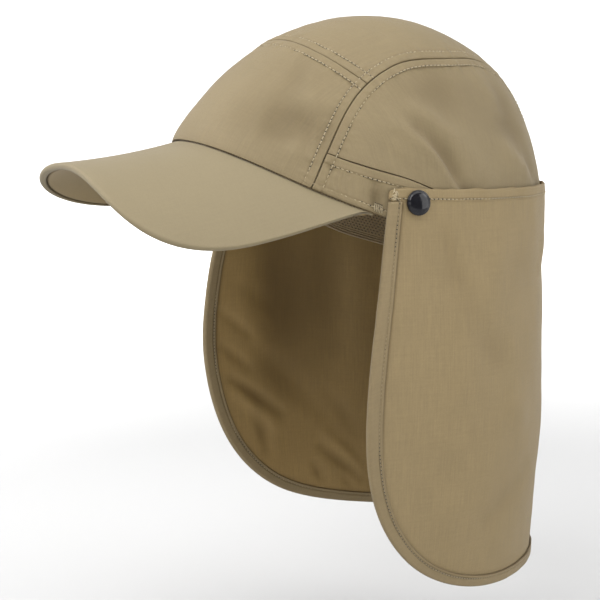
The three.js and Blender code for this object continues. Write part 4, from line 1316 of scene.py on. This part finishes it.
def peak_point(turn, out):
    across, y = peak_pattern(turn, out)
    point = bent_peak(across, y)
    seam = seam_at(turn * PEAK_END_ANGLE)
    edge = bent_peak(*peak_pattern(turn, np.zeros_like(turn)))
    seat = seam[..., 2] - PEAK_SEAT_GAP - edge[..., 2]
    point[..., 2] = point[..., 2] + seat * (1 - out) ** 2
    return point


def peak_normal(turn, out):
    """Direction squarely off the bent sheet."""
    across, y = peak_pattern(turn, out)
    return normal_of(bent_peak, across, y, PEAK_STEP)


def peak_at(turn, out, lift):
    return peak_point(turn, out) + peak_normal(turn, out) * lift[..., None]


PEAK_THICKNESS = PEAK_BOARD + GAP + PEAK_UNDER_WALL


class CAP_OT_peak(bpy.types.Operator):
    """Covers the peak: upper cloth rolled under its edge, and the cloth below"""

    bl_idname = "cap.peak"
    bl_label = "Peak"

    def execute(self, context):
        turn = np.linspace(-1, 1, PEAK_POINTS["round"])[:, None]
        depth = np.linalg.norm(peak_point(turn, 1 + 0 * turn) - peak_point(turn, 0 * turn), axis=-1)
        nose = np.minimum(PEAK_THICKNESS / 2, depth * 0.4)
        roll = np.minimum(PEAK_ROLL_WIDTH, depth * 0.7)
        top = np.linspace(0, 1, PEAK_POINTS["top"])[None, :-1]
        bow = np.linspace(0, math.pi, PEAK_POINTS["nose"])[None, :]
        below = np.linspace(1, 0, PEAK_POINTS["below"])[None, :]
        from_edge = np.concatenate([
            mix(depth, nose, top),
            nose * (1 - np.sin(bow)),
            mix(nose, roll, np.array([[0.5, 0.9, 1.0]])),
            mix(depth, roll, below),
        ], axis=1)
        lift = np.concatenate([
            0 * mix(depth, nose, top),
            -nose * (1 - np.cos(bow)) * (PEAK_THICKNESS / 2 / nose),
            np.zeros((len(turn), 3)) - PEAK_THICKNESS * np.array([[1, 1, 0.8]]),
            0 * mix(depth, roll, below) - PEAK_BOARD,
        ], axis=1)
        out = 1 - from_edge / depth
        turns = turn + 0 * out
        points = peak_at(turns, out, lift)
        soft = 0.00018 * ripple(points, 0.06, 31) * smooth(0, 0.01, from_edge)
        points = points + peak_normal(turns, out) * soft[..., None]
        uv = np.stack(peak_pattern(turns, out), axis=-1)
        # Painted shade on the top cloth under the crown's rim and where the rolled edge ends underneath
        from_seam = (1 - from_edge / depth) * depth
        dark = PEAK_SEAM_SHADE[0] * bell(from_seam, PEAK_SEAM_SHADE[1]) * (lift > -0.0001)
        ends = PEAK_ROLL_SHADE[0] * bell(from_edge - roll, PEAK_ROLL_SHADE[1])
        dark = dark + ends * (lift < -PEAK_BOARD / 2)
        piece = ring_piece("peak", points, uv, np.clip(dark, 0, 1), finishes()["peak"], False)
        dress(piece, "peak")
        self.under(turn[4:-4:2], depth[4:-4:2])
        return {"FINISHED"}

    def under(self, turn, depth):
        share = 1 - (1 - np.linspace(0, 1, PEAK_POINTS["under"])[None, :]) ** 1.5
        reach = np.maximum(1 - (PEAK_ROLL_WIDTH + PEAK_ROLL_GAP) / depth, 0.1)
        out = reach * share
        turns = turn + 0 * out
        gap = (reach - out) * depth
        edge = bell(gap, UNDER_EDGE_WIDTH)
        soft = 0.0002 * ripple(peak_point(turns, out), 0.05, 33)
        lower = peak_at(turns, out, soft - PEAK_THICKNESS + 0.0004 * edge)
        upper = peak_at(turns, out, 0 * out - PEAK_BOARD - GAP)
        # Painted shade along the underside's edge by the roll, and along its seam at the crown
        dark = edge + bell(out * depth, UNDER_SEAM_WIDTH)
        uv = np.stack(peak_pattern(turns, out), axis=-1)
        piece = sheet_piece("peak_underside", lower, upper, uv, np.clip(dark, 0, 1), finishes()["under"])
        dress(piece, "peak_underside")
        area = one_side_area(lower)
        cut_size(area, 1.5)


# Ribs along the lower edge of the knitted band
RIB_PITCH = 0.0014
RIB_EDGE = 3 * RIB_PITCH
MESH_FROM = 0.005
RIB_HEIGHT = 0.0005
HEAD_HEIGHT = 0.0004


class CAP_OT_sweatband(bpy.types.Operator):
    """Knits the band inside the head opening"""

    bl_idname = "cap.sweatband"
    bl_label = "Sweatband"

    def execute(self, context):
        angle = np.linspace(-math.pi, math.pi, BAND_POINTS["round"])[:-1][:, None]
        up = np.concatenate([np.linspace(0, RIB_EDGE, BAND_POINTS["up"]),
                             np.linspace(MESH_FROM, SWEATBAND_HEIGHT, BAND_POINTS["up"])])[None, :]
        places = crown_shares(angle + 0 * up, rim_point(angle)[..., 2] + up)
        rib = np.where(up < RIB_EDGE, 0.5 - 0.5 * np.cos(up * (2 * math.pi / RIB_PITCH)), 0.5)
        head = smooth(SWEATBAND_HEIGHT - 0.004, SWEATBAND_HEIGHT - 0.003, up)
        height = RIB_HEIGHT * rib + HEAD_HEIGHT * head
        ends = rounded(np.minimum(up, SWEATBAND_HEIGHT - up), 0.0007)
        thick = (SWEATBAND_WALL - 0.0006 + height) * (0.35 + 0.65 * ends) + 0 * angle
        wobble = 0.00025 * ripple(crown_point(*places), 0.03, 41)
        dent = np.minimum(crown_fold(*places, CROWN_CREASES), 0)
        outer_lift = dent - CROWN_WALL - SWEATBAND_CLEARANCE
        outside = crown_point(*places, outer_lift)
        inside = crown_point(*places, outer_lift - thick + np.minimum(wobble, 0))
        sections = np.concatenate([outside, inside[:, ::-1]], axis=1)
        girth = angle * (HEAD_SIDE + HEAD_BACK) / 2 + 0 * up
        uv = np.stack([girth, up + 0 * angle], axis=-1)
        # Painted shade in the hollows between the ribs
        dark = (1 - rib) * 0.3 * (up < RIB_EDGE) + 0 * angle
        uv = np.concatenate([uv, uv[:, ::-1]], axis=1)
        dark = np.concatenate([dark, dark[:, ::-1]], axis=1)
        piece = ring_piece("sweatband", sections, uv, dark, finishes()["knit"], True)
        dress(piece, "sweatband")
        return {"FINISHED"}


FLAP_TOP_ANGLE = math.pi - FLAP_HALF_ANGLE
SNAP_STANDOFF = GAP + STUD_THICKNESS + STUD_CLEARANCE + HEM_THICKNESS / 2
NAPE_STANDOFF = HEM_CLEARANCE + HEM_THICKNESS / 2
SNAP_ANGLE = FLAP_HALF_ANGLE - SNAP_BACK / HEAD_SIDE
FLAP_HALF_STEP = 0.5 ** (1 / FLAP_POWER)
FLAP_INSET = TAPE_WALL + GAP
FLAP_GIRTH = FLAP_HALF_ANGLE * HEAD_SIDE
HEM_CORNER = 0.0027
FLAP_FOLD_FROM = HEM_HEIGHT + 0.04
FLAP_CREASE_FROM = HEM_HEIGHT + 0.02
FLAP_SLACK = {"height": 0.0009, "size": 0.07}
FLAP_CRINKLE = {"height": 0.00012, "size": 0.016}


def flap_top(angle):
    share = (math.pi - np.abs(angle) - FLAP_TOP_ANGLE) / FLAP_HALF_ANGLE
    return FLAP_TOP_FRONT - FLAP_TOP_FALL * share


def flap_radius(angle, depth):
    brow = math.pi - angle
    shares = crown_shares(brow, flap_top(angle) - depth)
    crown = dome_point(*shares)
    near_snap = 1 - smooth(0.25, 1.1, SNAP_ANGLE - np.abs(angle))
    standoff = mix(NAPE_STANDOFF, SNAP_STANDOFF, near_snap) + np.maximum(crown_fold(*shares), 0)
    held = np.hypot(crown[..., 0], crown[..., 1]) + standoff
    c, s = np.cos(angle), np.sin(angle)
    drop = depth / FLAP_LENGTH
    side = HEAD_SIDE * table_value(FLAP_SECTIONS, "drop", "side", drop)
    ahead = HEAD_FRONT * table_value(FLAP_SECTIONS, "drop", "front", drop)
    behind = HEAD_BACK * table_value(FLAP_SECTIONS, "drop", "back", drop)
    reach = np.where(c < 0, ahead, behind)
    total = np.abs(s / side) ** FLAP_SECTION_POWER + np.abs(c / reach) ** FLAP_SECTION_POWER
    free = smooth(0, FLAP_FREE_DEPTH, depth)
    hanging = mix(held, total ** (-1 / FLAP_SECTION_POWER), free)
    below_rim = rim_point(brow)[..., 2] - flap_top(angle) + depth
    return np.maximum(hanging, held - FLAP_RELEASE * smooth(0, FLAP_FREE_DEPTH, below_rim))


def flap_sheet(angle, depth):
    radius = flap_radius(angle, depth)
    return np.stack([radius * np.sin(angle), radius * np.cos(angle), flap_top(angle) - depth], axis=-1)


def flap_surface(angle, depth):
    """Middle of the flap cloth with its main folds, and the direction out of it."""
    share, drop = angle / FLAP_HALF_ANGLE, depth / FLAP_LENGTH
    free = smooth(HEM_HEIGHT, FLAP_FOLD_FROM, depth)
    folds = free * fold_height(FLAP_FOLDS, share, drop, FLAP_GIRTH, FLAP_LENGTH)
    normal = normal_of(lambda a, b: flap_sheet(a, b * FLAP_LENGTH), angle, drop, 0.004)
    point = flap_sheet(angle, depth) + normal * folds[..., None]
    point = point + normal * flap_relief(point, angle, depth)[..., None]
    return point, normal


def flap_folds(angle, depth):
    """Height of the flap's finer folds."""
    free = smooth(HEM_HEIGHT, FLAP_CREASE_FROM, depth)
    share, drop = angle / FLAP_HALF_ANGLE, depth / FLAP_LENGTH
    return free * fold_height(FLAP_CREASES, share, drop, FLAP_GIRTH, FLAP_LENGTH)


def flap_relief(point, angle, depth):
    """Finer folds and unevenness of the flap, quiet at the hem and round the snaps."""
    free = smooth(HEM_HEIGHT, FLAP_CREASE_FROM, depth)
    relief = flap_folds(angle, depth)
    relief = relief + free * FLAP_SLACK["height"] * ripple(point, FLAP_SLACK["size"], 51)
    crinkle = FLAP_CRINKLE["height"] * ripple(point, FLAP_CRINKLE["size"], 52)
    return relief + (0.2 + 0.8 * free) * crinkle


def flap_oval(share):
    return squared_oval(share * FLAP_HALF_STEP, FLAP_POWER)


def flap_place(wide, long, inset):
    angle = wide * (FLAP_HALF_ANGLE - inset / HEAD_SIDE + FLAP_FLARE_ANGLE * long)
    depth = long * (FLAP_LENGTH - inset - FLAP_NAPE_RISE * (1 - np.abs(wide)))
    return angle, depth


class CAP_OT_flap(bpy.types.Operator):
    """Hangs the neck flap with its turned hem"""

    bl_idname = "cap.flap"
    bl_label = "Neck flap"

    def execute(self, context):
        across = 2 * stations(2 * FLAP_GIRTH, FLAP_STEP)[None, :] - 1
        hem_rows = np.array([0, 0.0002, 0.0005, 0.0009, 0.0014, 0.002, 0.0027, 0.0034, 0.004, 0.0043,
                             0.0046, 0.0048, 0.005, 0.0053, 0.0056, 0.0059, 0.0062, 0.0066])
        rest = 1 - stations(2 * FLAP_LENGTH, FLAP_STEP)
        rest = np.sort(rest[rest < 0.5]) * 2
        rest = rest[rest > (hem_rows[-1] + 0.0004) / FLAP_LENGTH]
        down = np.concatenate([hem_rows / FLAP_LENGTH, rest])[:, None]
        edge = flap_oval(across)
        inset = FLAP_INSET * smooth(HEM_HEIGHT, HEM_HEIGHT + 0.001, down * FLAP_LENGTH)
        angle, depth = flap_place(across * flap_oval(down), down * edge, inset)
        corner = HEM_CORNER - np.sqrt(HEM_CORNER ** 2 - np.maximum(HEM_CORNER - depth, 0) ** 2)
        angle = angle * (1 - corner / FLAP_GIRTH)
        rough = HEM_WAVE["height"] * wave(angle * HEAD_SIDE, HEM_WAVE["size"], 61)
        depth = depth + rough * (1 - smooth(0, HEM_WAVE["reach"], depth))
        middle, normal = flap_surface(angle, depth)
        girth = angle * HEAD_SIDE
        turned = 1 - smooth(HEM_HEIGHT - 0.0002, HEM_HEIGHT + 0.0003, depth)
        half = mix(FLAP_WALL, HEM_THICKNESS, turned) / 2
        half = half * (0.25 + 0.75 * rounded(depth, HEM_LIP))
        dip = bell(depth - HEM_ROW, HEM_DIP["width"])
        pucker = wave(girth, HEM_PUCKER["size"], 62) * bell(depth - HEM_ROW, HEM_PUCKER["reach"])
        pucker = HEM_PUCKER["height"] * pucker
        to_tape = np.minimum((1 - np.abs(across)) * FLAP_GIRTH, (1 - down) * FLAP_LENGTH) + FLAP_INSET
        tape = bell(to_tape - TAPE_WIDTH - 0.0001, TAPE_SHADE[1]) * (1 - turned)
        folds = flap_folds(angle, depth)
        outer = middle + normal * (half - HEM_DIP["outer"] * dip + pucker)[..., None]
        inner = middle - normal * (half - HEM_DIP["inner"] * dip - pucker)[..., None]
        # Painted shade in the hem's stitch row, along the binding tape's inner edge and along the top edge
        # under the crown; the folds add painted shade in their hollows on each face
        dark = ROW_SHADE * dip + TAPE_SHADE[0] * tape + TOP_SHADE[0] * bell(depth, TOP_SHADE[1])
        uv = np.stack([girth + 0 * depth, depth], axis=-1)
        piece = sheet_piece("neck_flap", outer, inner, uv, np.clip(dark + shade_of(folds), 0, 1),
                            finishes()["flap"], np.clip(dark + shade_of(-folds, WRONG_SIDE_SHADE_MOST), 0, 1))
        dress(piece, "neck_flap")
        one_side_area(outer)
        return {"FINISHED"}


def tape_edge():
    """Places round the flap's edge from the left front corner to the right one."""
    start = (HEM_HEIGHT + 2 * GAP) / (FLAP_LENGTH * FLAP_HALF_STEP)
    down = np.linspace(start, 1, TAPE_POINTS["down"])[:-1]
    across = np.linspace(1, -1, TAPE_POINTS["across"])
    wide = np.concatenate([flap_oval(down), across * FLAP_HALF_STEP, -flap_oval(down)[::-1]])
    long = np.concatenate([down * FLAP_HALF_STEP, flap_oval(across), down[::-1] * FLAP_HALF_STEP])
    return wide[:, None], long[:, None]


def tape_face(share):
    """Height of the tape's face over the middle of the flap, for shares of its width."""
    outer = FLAP_WALL / 2 + GAP + TAPE_WALL
    lip = np.sqrt(np.clip(1 - ((share - 0.9) / 0.1).clip(0, 1) ** 2, 0, 1))
    return outer * (0.62 + 0.38 * lip)


class CAP_OT_binding(bpy.types.Operator):
    """Folds the tape over the flap's front edges and hem"""

    bl_idname = "cap.binding"
    bl_label = "Binding"

    def execute(self, context):
        wide, long = tape_edge()
        inner = FLAP_WALL / 2 + GAP
        outer = inner + TAPE_WALL
        width = np.concatenate([np.linspace(1, 0.9, 6), np.linspace(0.86, 0.74, 4),
                                np.linspace(0.71, 0.59, 9), np.linspace(0.55, TAPE_NOSE / TAPE_WIDTH, 9)])
        bow = np.linspace(0, math.pi, TAPE_POINTS["nose"])[1:-1]
        inset = np.concatenate([width * TAPE_WIDTH, TAPE_NOSE * (1 - np.sin(bow)),
                                width[::-1] * TAPE_WIDTH, [TAPE_WIDTH, TAPE_WALL, TAPE_WALL, TAPE_WIDTH]])
        face = tape_face(width)
        lift = np.concatenate([face, outer * np.cos(bow), -face[::-1], [-inner, -inner, inner, inner]])
        lift[-4:] *= 0.98
        inset, lift = inset[None, :], lift[None, :]
        angle, depth = flap_place(wide, long, inset)
        middle, normal = flap_surface(angle, depth)
        steps = np.linalg.norm(np.diff(middle[:, 0], axis=0), axis=1)
        along = np.concatenate([[0], np.cumsum(steps)])[:, None]
        dip = bell(inset - TAPE_ROW, TAPE_DIP["width"]) * (np.abs(lift) > inner)
        swell = wave(along, TAPE_SWELL["size"], 71) * bell(inset - TAPE_ROW, TAPE_SWELL["reach"])
        pad = TAPE_PAD * np.sin(np.clip(inset / TAPE_ROW, 0, 1) * math.pi)
        face_side = np.sign(lift) * (np.abs(lift) > inner)
        relief = pad - TAPE_DIP["depth"] * dip + TAPE_SWELL["height"] * swell
        points = middle + normal * (lift + face_side * relief)[..., None]
        around = np.cumsum(np.concatenate([[0], np.hypot(np.diff(inset[0]), np.diff(lift[0]))]))
        uv = np.stack([along + 0 * inset, around[None, :] + 0 * along], axis=-1)
        # Painted shade in the binding's stitch row and along its inner edge
        edge = TAPE_EDGE_SHADE[0] * bell(inset - TAPE_WIDTH, TAPE_EDGE_SHADE[1])
        dark = TAPE_ROW_SHADE * dip + edge + 0 * along
        piece = ring_piece("flap_binding", points, uv, np.clip(dark, 0, 1), finishes()["tape"], False)
        dress(piece, "flap_binding")
        return {"FINISHED"}


def snap_frame(sign):
    middle, normal = flap_surface(np.array([sign * SNAP_ANGLE]), np.array([SNAP_DROP]))
    return middle[0], normal[0]


def lathe_piece(name, profile, sides, centre, axis, material):
    """Turned piece from a profile of radius and height that starts and ends on its axis."""
    turn = np.linspace(0, 2 * math.pi, sides, endpoint=False)
    quarter = np.array(Vector((0, 0, 1)).rotation_difference(Vector(axis)).to_matrix())
    radius, height = np.array(profile[1:-1]).T
    ring = np.stack([np.outer(np.cos(turn), radius), np.outer(np.sin(turn), radius),
                     np.outer(np.ones(sides), height)], axis=-1)
    ends = np.array([[0, 0, profile[0][1]], [0, 0, profile[-1][1]]])
    points = np.concatenate([ring.reshape(-1, 3), ends]) @ quarter.T + centre
    count = len(radius)
    index = np.arange(sides * count).reshape(sides, count)
    follow = np.roll(index, -1, axis=0)
    quads = np.stack([index[:, :-1], follow[:, :-1], follow[:, 1:], index[:, 1:]], axis=2).reshape(-1, 4)
    low, high = sides * count, sides * count + 1
    fans = [[follow[k, 0], index[k, 0], low] for k in range(sides)]
    fans += [[index[k, -1], follow[k, -1], high] for k in range(sides)]
    mesh = bpy.data.meshes.new(name)
    mesh.from_pydata(points.tolist(), [], quads.tolist() + fans)
    mesh.polygons.foreach_set("use_smooth", np.ones(len(mesh.polygons), bool))
    mesh.materials.append(material)
    mesh.validate()
    return add_object(name, mesh)


class CAP_OT_snaps(bpy.types.Operator):
    """Turns the enamelled snap caps and finishes the studs behind them"""

    bl_idname = "cap.snaps"
    bl_label = "Snaps"

    def execute(self, context):
        seat = HEM_THICKNESS / 2 + GAP
        r = SNAP_RADIUS
        edge = [(r - 0.0006, seat), (r - 0.0002, seat + 0.00008), (r, seat + 0.0003),
                (r, seat + SNAP_LIP), (r - 0.00012, seat + SNAP_LIP + 0.00022),
                (r - 0.00045, seat + SNAP_LIP + 0.0003)]
        turn = np.linspace(0.04, 1, SNAP_POINTS["dome"])
        dome = [((r - 0.0006) * math.cos(a * math.pi / 2), seat + SNAP_LIP + 0.0002
                 + (SNAP_DOME - SNAP_LIP - 0.0002) * math.sin(a * math.pi / 2) ** 0.9) for a in turn[:-1]]
        profile = [(0, seat)] + edge + dome + [(0, seat + SNAP_DOME)]
        enamel = finishes()["enamel"]
        for side, sign in (("left", 1), ("right", -1)):
            centre, axis = snap_frame(sign)
            name = f"snap_cap_{side}"
            piece = lathe_piece(name, profile, SNAP_POINTS["round"], centre, axis, enamel)
            dress(piece, name)
            cover_node(f"snap_stud_{side}", enamel)
        return {"FINISHED"}


class CAP_OT_fastener(bpy.types.Operator):
    """Gives the fastening strip at the nape its pile"""

    bl_idname = "cap.fastener"
    bl_label = "Fastener"

    def execute(self, context):
        cover_node("back_fastener", finishes()["pile"])
        return {"FINISHED"}


def row_beside(line, distance, sign):
    """Places at a distance to one side of a seam line, with the directions out of the cloth."""
    normal = crown_normal(line.side, line.back)
    along = unit(np.gradient(line.points, axis=0))
    beside = unit(np.cross(normal, along)) * sign
    return line.points + beside * distance, normal


# Tack on the rim at both temples: angles from the brow, height and number of strokes
TACK_FROM = 1.078
TACK_TO = 1.118
TACK_HEIGHT = 0.0025
TACK_STROKES = 5


class CAP_OT_crown_stitches(bpy.types.Operator):
    """Sews the rows beside the crown's seams and the tack at the rim"""

    bl_idname = "cap.crown_stitches"
    bl_label = "Crown stitches"

    def execute(self, context):
        lines = crown_lines()
        rows = []
        upper = Skin("front_panel", "top_panel")
        below = Skin("side_panel_left", "side_panel_right", "lower_band")
        band = Skin("lower_band")
        for name, sign in (("arc_left", 1), ("arc_right", -1)):
            outer, up = row_beside(lines[name], ROW_DISTANCE, sign)
            rows += upper.line(outer, up, lines["rim"].near(outer)[0] > 0.0012)
            inner, up = row_beside(lines[name], ROW_DISTANCE, -sign)
            clear = lines["rim"].near(inner)[0] > RIM_ROW_DISTANCE
            rows += below.line(inner, up, clear & (lines["band"].near(inner)[0] > 0.0005))
        for sign in (1, -1):
            beside, up = row_beside(lines["front"], ROW_DISTANCE, sign)
            away = np.minimum(lines["arc_left"].near(beside)[0], lines["arc_right"].near(beside)[0])
            rows += upper.line(beside, up, away > 0.001)
        for name, distance in (("band", ROW_DISTANCE), ("rim", RIM_ROW_DISTANCE)):
            for sign in (1, -1):
                beside, up = row_beside(lines[name], distance, sign)
                ends = np.minimum(lines["arc_left"].near(beside)[0], lines["arc_right"].near(beside)[0])
                level = rim_point(np.arctan2(beside[:, 0], -beside[:, 1]))[:, 2]
                turn = np.abs(np.arctan2(beside[:, 0], -beside[:, 1]))
                high = beside[:, 2] - level
                inside = (high > 0.001) & (high < 0.019) & (turn > RIM_ANGLE)
                rows += band.line(beside, up, inside & (ends > ROW_DISTANCE * (name == "band")))
        piece = sew("crown_stitches", rows)
        dress(piece, None)
        dress(self.tacks(band), None)
        return {"FINISHED"}

    def tacks(self, band):
        """Short upright strokes beside each end of the peak, in front of the flap."""
        rows = []
        for sign in (1, -1):
            for angle in np.linspace(TACK_FROM, TACK_TO, TACK_STROKES):
                high = np.array([TACK_HEIGHT, TACK_HEIGHT + 0.001])
                angles = np.full(2, sign * angle)
                places = crown_shares(angles, rim_point(angles)[..., 2] + high)
                rows += band.line(crown_point(*places), crown_normal(*places))
        return sew("rim_tacks", rows, Pitch=0.01, Length=0.0026, Thickness=0.00045, Slant=0.2,
                   Hole=0.0003)


KNOT_STROKES = 12


class CAP_OT_flap_stitches(bpy.types.Operator):
    """Sews the flap's hem, its binding on both faces and the knots at its front corners"""

    bl_idname = "cap.flap_stitches"
    bl_label = "Flap stitches"

    def execute(self, context):
        rows, tape_rows = [], []
        cloth = Skin("neck_flap")
        tape = Skin("flap_binding")
        angle = np.linspace(-1, 1, 420) * (FLAP_HALF_ANGLE - 0.0012 / HEAD_SIDE)
        middle, normal = flap_surface(angle, np.full(angle.shape, HEM_ROW))
        from_snap = np.abs(np.abs(angle) - SNAP_ANGLE) * HEAD_SIDE
        for face in (1, -1):
            rows += cloth.line(middle, normal * face, from_snap > SNAP_RADIUS * 0.8)
        wide, long = tape_edge()
        middle, normal = flap_surface(*flap_place(wide[:, 0], long[:, 0], TAPE_ROW))
        for face in (1, -1):
            tape_rows += tape.line(middle, normal * face)
        dress(sew("hem_stitches", rows), None)
        piece = sew("binding_stitches", tape_rows, Pitch=0.002, Length=0.0013, Thickness=0.0004,
                    Hole=0.00035, Thread=finishes()["binding_thread"])
        dress(piece, None)
        dress(self.knots(cloth), None)
        return {"FINISHED"}

    def knots(self, cloth):
        """Rough strokes in all directions that lock the hem at each front corner."""
        rows = []
        draw = np.random.default_rng(83)
        for sign in (1, -1):
            for k in range(KNOT_STROKES):
                back = 0.0012 + draw.uniform(0, 0.0022)
                depth = mix(0.0012, 0.0052, (k + draw.uniform(0, 1)) / KNOT_STROKES)
                turn = draw.uniform(0, math.pi)
                ends = np.array([0, 0.0006])
                angle = sign * (FLAP_HALF_ANGLE - (back + ends * math.cos(turn)) / HEAD_SIDE)
                middle, normal = flap_surface(angle, depth + ends * math.sin(turn))
                rows += cloth.line(middle, normal)
        return sew("corner_knots", rows, Pitch=0.01, Length=0.002, Thickness=0.0005, Rise=0.0004,
                   Slant=0.4, Hole=0.0003)


class CAP_OT_stage(bpy.types.Operator):
    """Sets the pale floor, the soft lights and the camera"""

    bl_idname = "cap.stage"
    bl_label = "Stage"

    def execute(self, context):
        self.floor(context)
        self.lights(context)
        self.camera(context)
        return {"FINISHED"}

    def floor(self, context):
        """Round pale floor that sweeps up into a wall far from the cap."""
        low = SOLID_BOX[0][2] - context.scene.cap_sizes.floor_drop
        radius, rise = np.array(FLOOR_PROFILE).T
        turn = np.linspace(0, 2 * math.pi, FLOOR_SIDES, endpoint=False)
        points = np.stack([np.outer(np.cos(turn), radius), np.outer(np.sin(turn), radius),
                           np.outer(np.ones(FLOOR_SIDES), low + rise)], axis=-1)
        index = np.arange(FLOOR_SIDES * len(radius)).reshape(FLOOR_SIDES, -1)
        follow = np.roll(index, -1, axis=0)
        quads = np.stack([index[:, :-1], index[:, 1:], follow[:, 1:], follow[:, :-1]], axis=2)
        mesh = bpy.data.meshes.new("studio_floor")
        mesh.from_pydata(points.reshape(-1, 3).tolist(), [], quads.reshape(-1, 4).tolist()
                         + [index[:, 0].tolist()])
        mesh.polygons.foreach_set("use_smooth", np.ones(len(mesh.polygons), bool))
        f = Finish("studio_floor")
        cloud = f.noise(f.body(), 3.0, 2.0, 0.5)
        pale = context.scene.cap_colours.floor[:]
        colour = f.blend(cloud, tuple(c * 0.99 for c in pale), pale)
        mesh.materials.append(f.finish(colour, 0.9, None, Specular_IOR_Level=0.1))
        add_object("studio_floor", mesh)

    def lights(self, context):
        """Soft lights round the cap, and lamps behind it that light only the floor."""
        for row in LIGHTS:
            back = facing(row["round"], row["up"])
            self.lamp(row, back * row["away"] + LIGHT_CENTRE, back)
        for turn in BACKDROP_TURNS:
            side = math.radians(VIEW_ROUND) + math.pi + turn
            out = Vector((math.sin(side), -math.cos(side), 0))
            place = out * BACKDROP["away"] + Vector((0, 0, BACKDROP["high"]))
            self.lamp(BACKDROP, place, Vector((0, 0, BACKDROP["tilt"])) - out)
        world = bpy.data.worlds.new("studio")
        world.use_nodes = True
        sky = world.node_tree.nodes["Background"]
        sky.inputs["Color"].default_value = (1.0, 1.0, 1.0, 1.0)
        sky.inputs["Strength"].default_value = WORLD_STRENGTH
        context.scene.world = world
        context.scene.view_settings.view_transform = "Standard"

    def lamp(self, row, place, back):
        """Rectangular soft light whose rear looks along back."""
        light = bpy.data.lights.new(row["name"], "AREA")
        light.shape = "RECTANGLE"
        light.size, light.size_y = row["size"]
        light.energy = row["power"]
        lamp = add_object(row["name"], light)
        lamp.location = place
        lamp.visible_glossy = row["name"] != "side"
        lamp.rotation_euler = back.to_track_quat("Z", "Y").to_euler()

    def camera(self, context):
        """Camera that sees the cap as the photograph does."""
        turn = math.radians(VIEW_ROUND)
        back = facing(VIEW_ROUND, VIEW_UP)
        right = Vector((math.cos(turn), math.sin(turn), 0))
        above = back.cross(right)
        u = (PICTURE_CENTRE[0] - PICTURE_SIZE / 2) / PICTURE_FOCUS
        v = (PICTURE_SIZE / 2 - PICTURE_CENTRE[1]) / PICTURE_FOCUS
        place = Vector(VIEW_CENTRE) + VIEW_DISTANCE * (back - u * right - v * above)
        view = bpy.data.cameras.new("photo_view")
        view.sensor_width = SENSOR_WIDTH
        view.lens = PICTURE_FOCUS / PICTURE_SIZE * SENSOR_WIDTH
        view.clip_start = 0.02
        view.clip_end = 50
        camera = add_object("photo_view", view)
        camera.matrix_world = Matrix.Translation(place) @ Matrix((right, above, back)).transposed().to_4x4()
        context.scene.camera = camera


class CAP_PT_panel(bpy.types.Panel):
    """Lists the cap's sizes, colours and pieces"""

    bl_idname = "CAP_PT_panel"
    bl_label = "Sun cap"
    bl_space_type = "VIEW_3D"
    bl_region_type = "UI"
    bl_category = "Cap"

    def draw(self, context):
        for group in (context.scene.cap_sizes, context.scene.cap_colours):
            for name in group.bl_rna.properties.keys():
                if name not in ("rna_type", "name"):
                    self.layout.prop(group, name)
        for operator in OPERATORS:
            self.layout.operator(operator.bl_idname)


OPERATORS = (
    CAP_OT_crown,
    CAP_OT_peak,
    CAP_OT_sweatband,
    CAP_OT_binding,
    CAP_OT_flap,
    CAP_OT_snaps,
    CAP_OT_fastener,
    CAP_OT_crown_stitches,
    CAP_OT_flap_stitches,
    CAP_OT_stage,
)
CLASSES = (CapSizes, CapColours, *OPERATORS, CAP_PT_panel)


def register():
    for cls in CLASSES:
        bpy.utils.register_class(cls)
    bpy.types.Scene.cap_sizes = bpy.props.PointerProperty(type=CapSizes)
    bpy.types.Scene.cap_colours = bpy.props.PointerProperty(type=CapColours)


def unregister():
    del bpy.types.Scene.cap_sizes
    del bpy.types.Scene.cap_colours
    for cls in reversed(CLASSES):
        bpy.utils.unregister_class(cls)


def main():
    register()
    for operator in OPERATORS:
        group, name = operator.bl_idname.split(".")
        getattr(getattr(bpy.ops, group), name)()


if __name__ == "__main__":
    main()
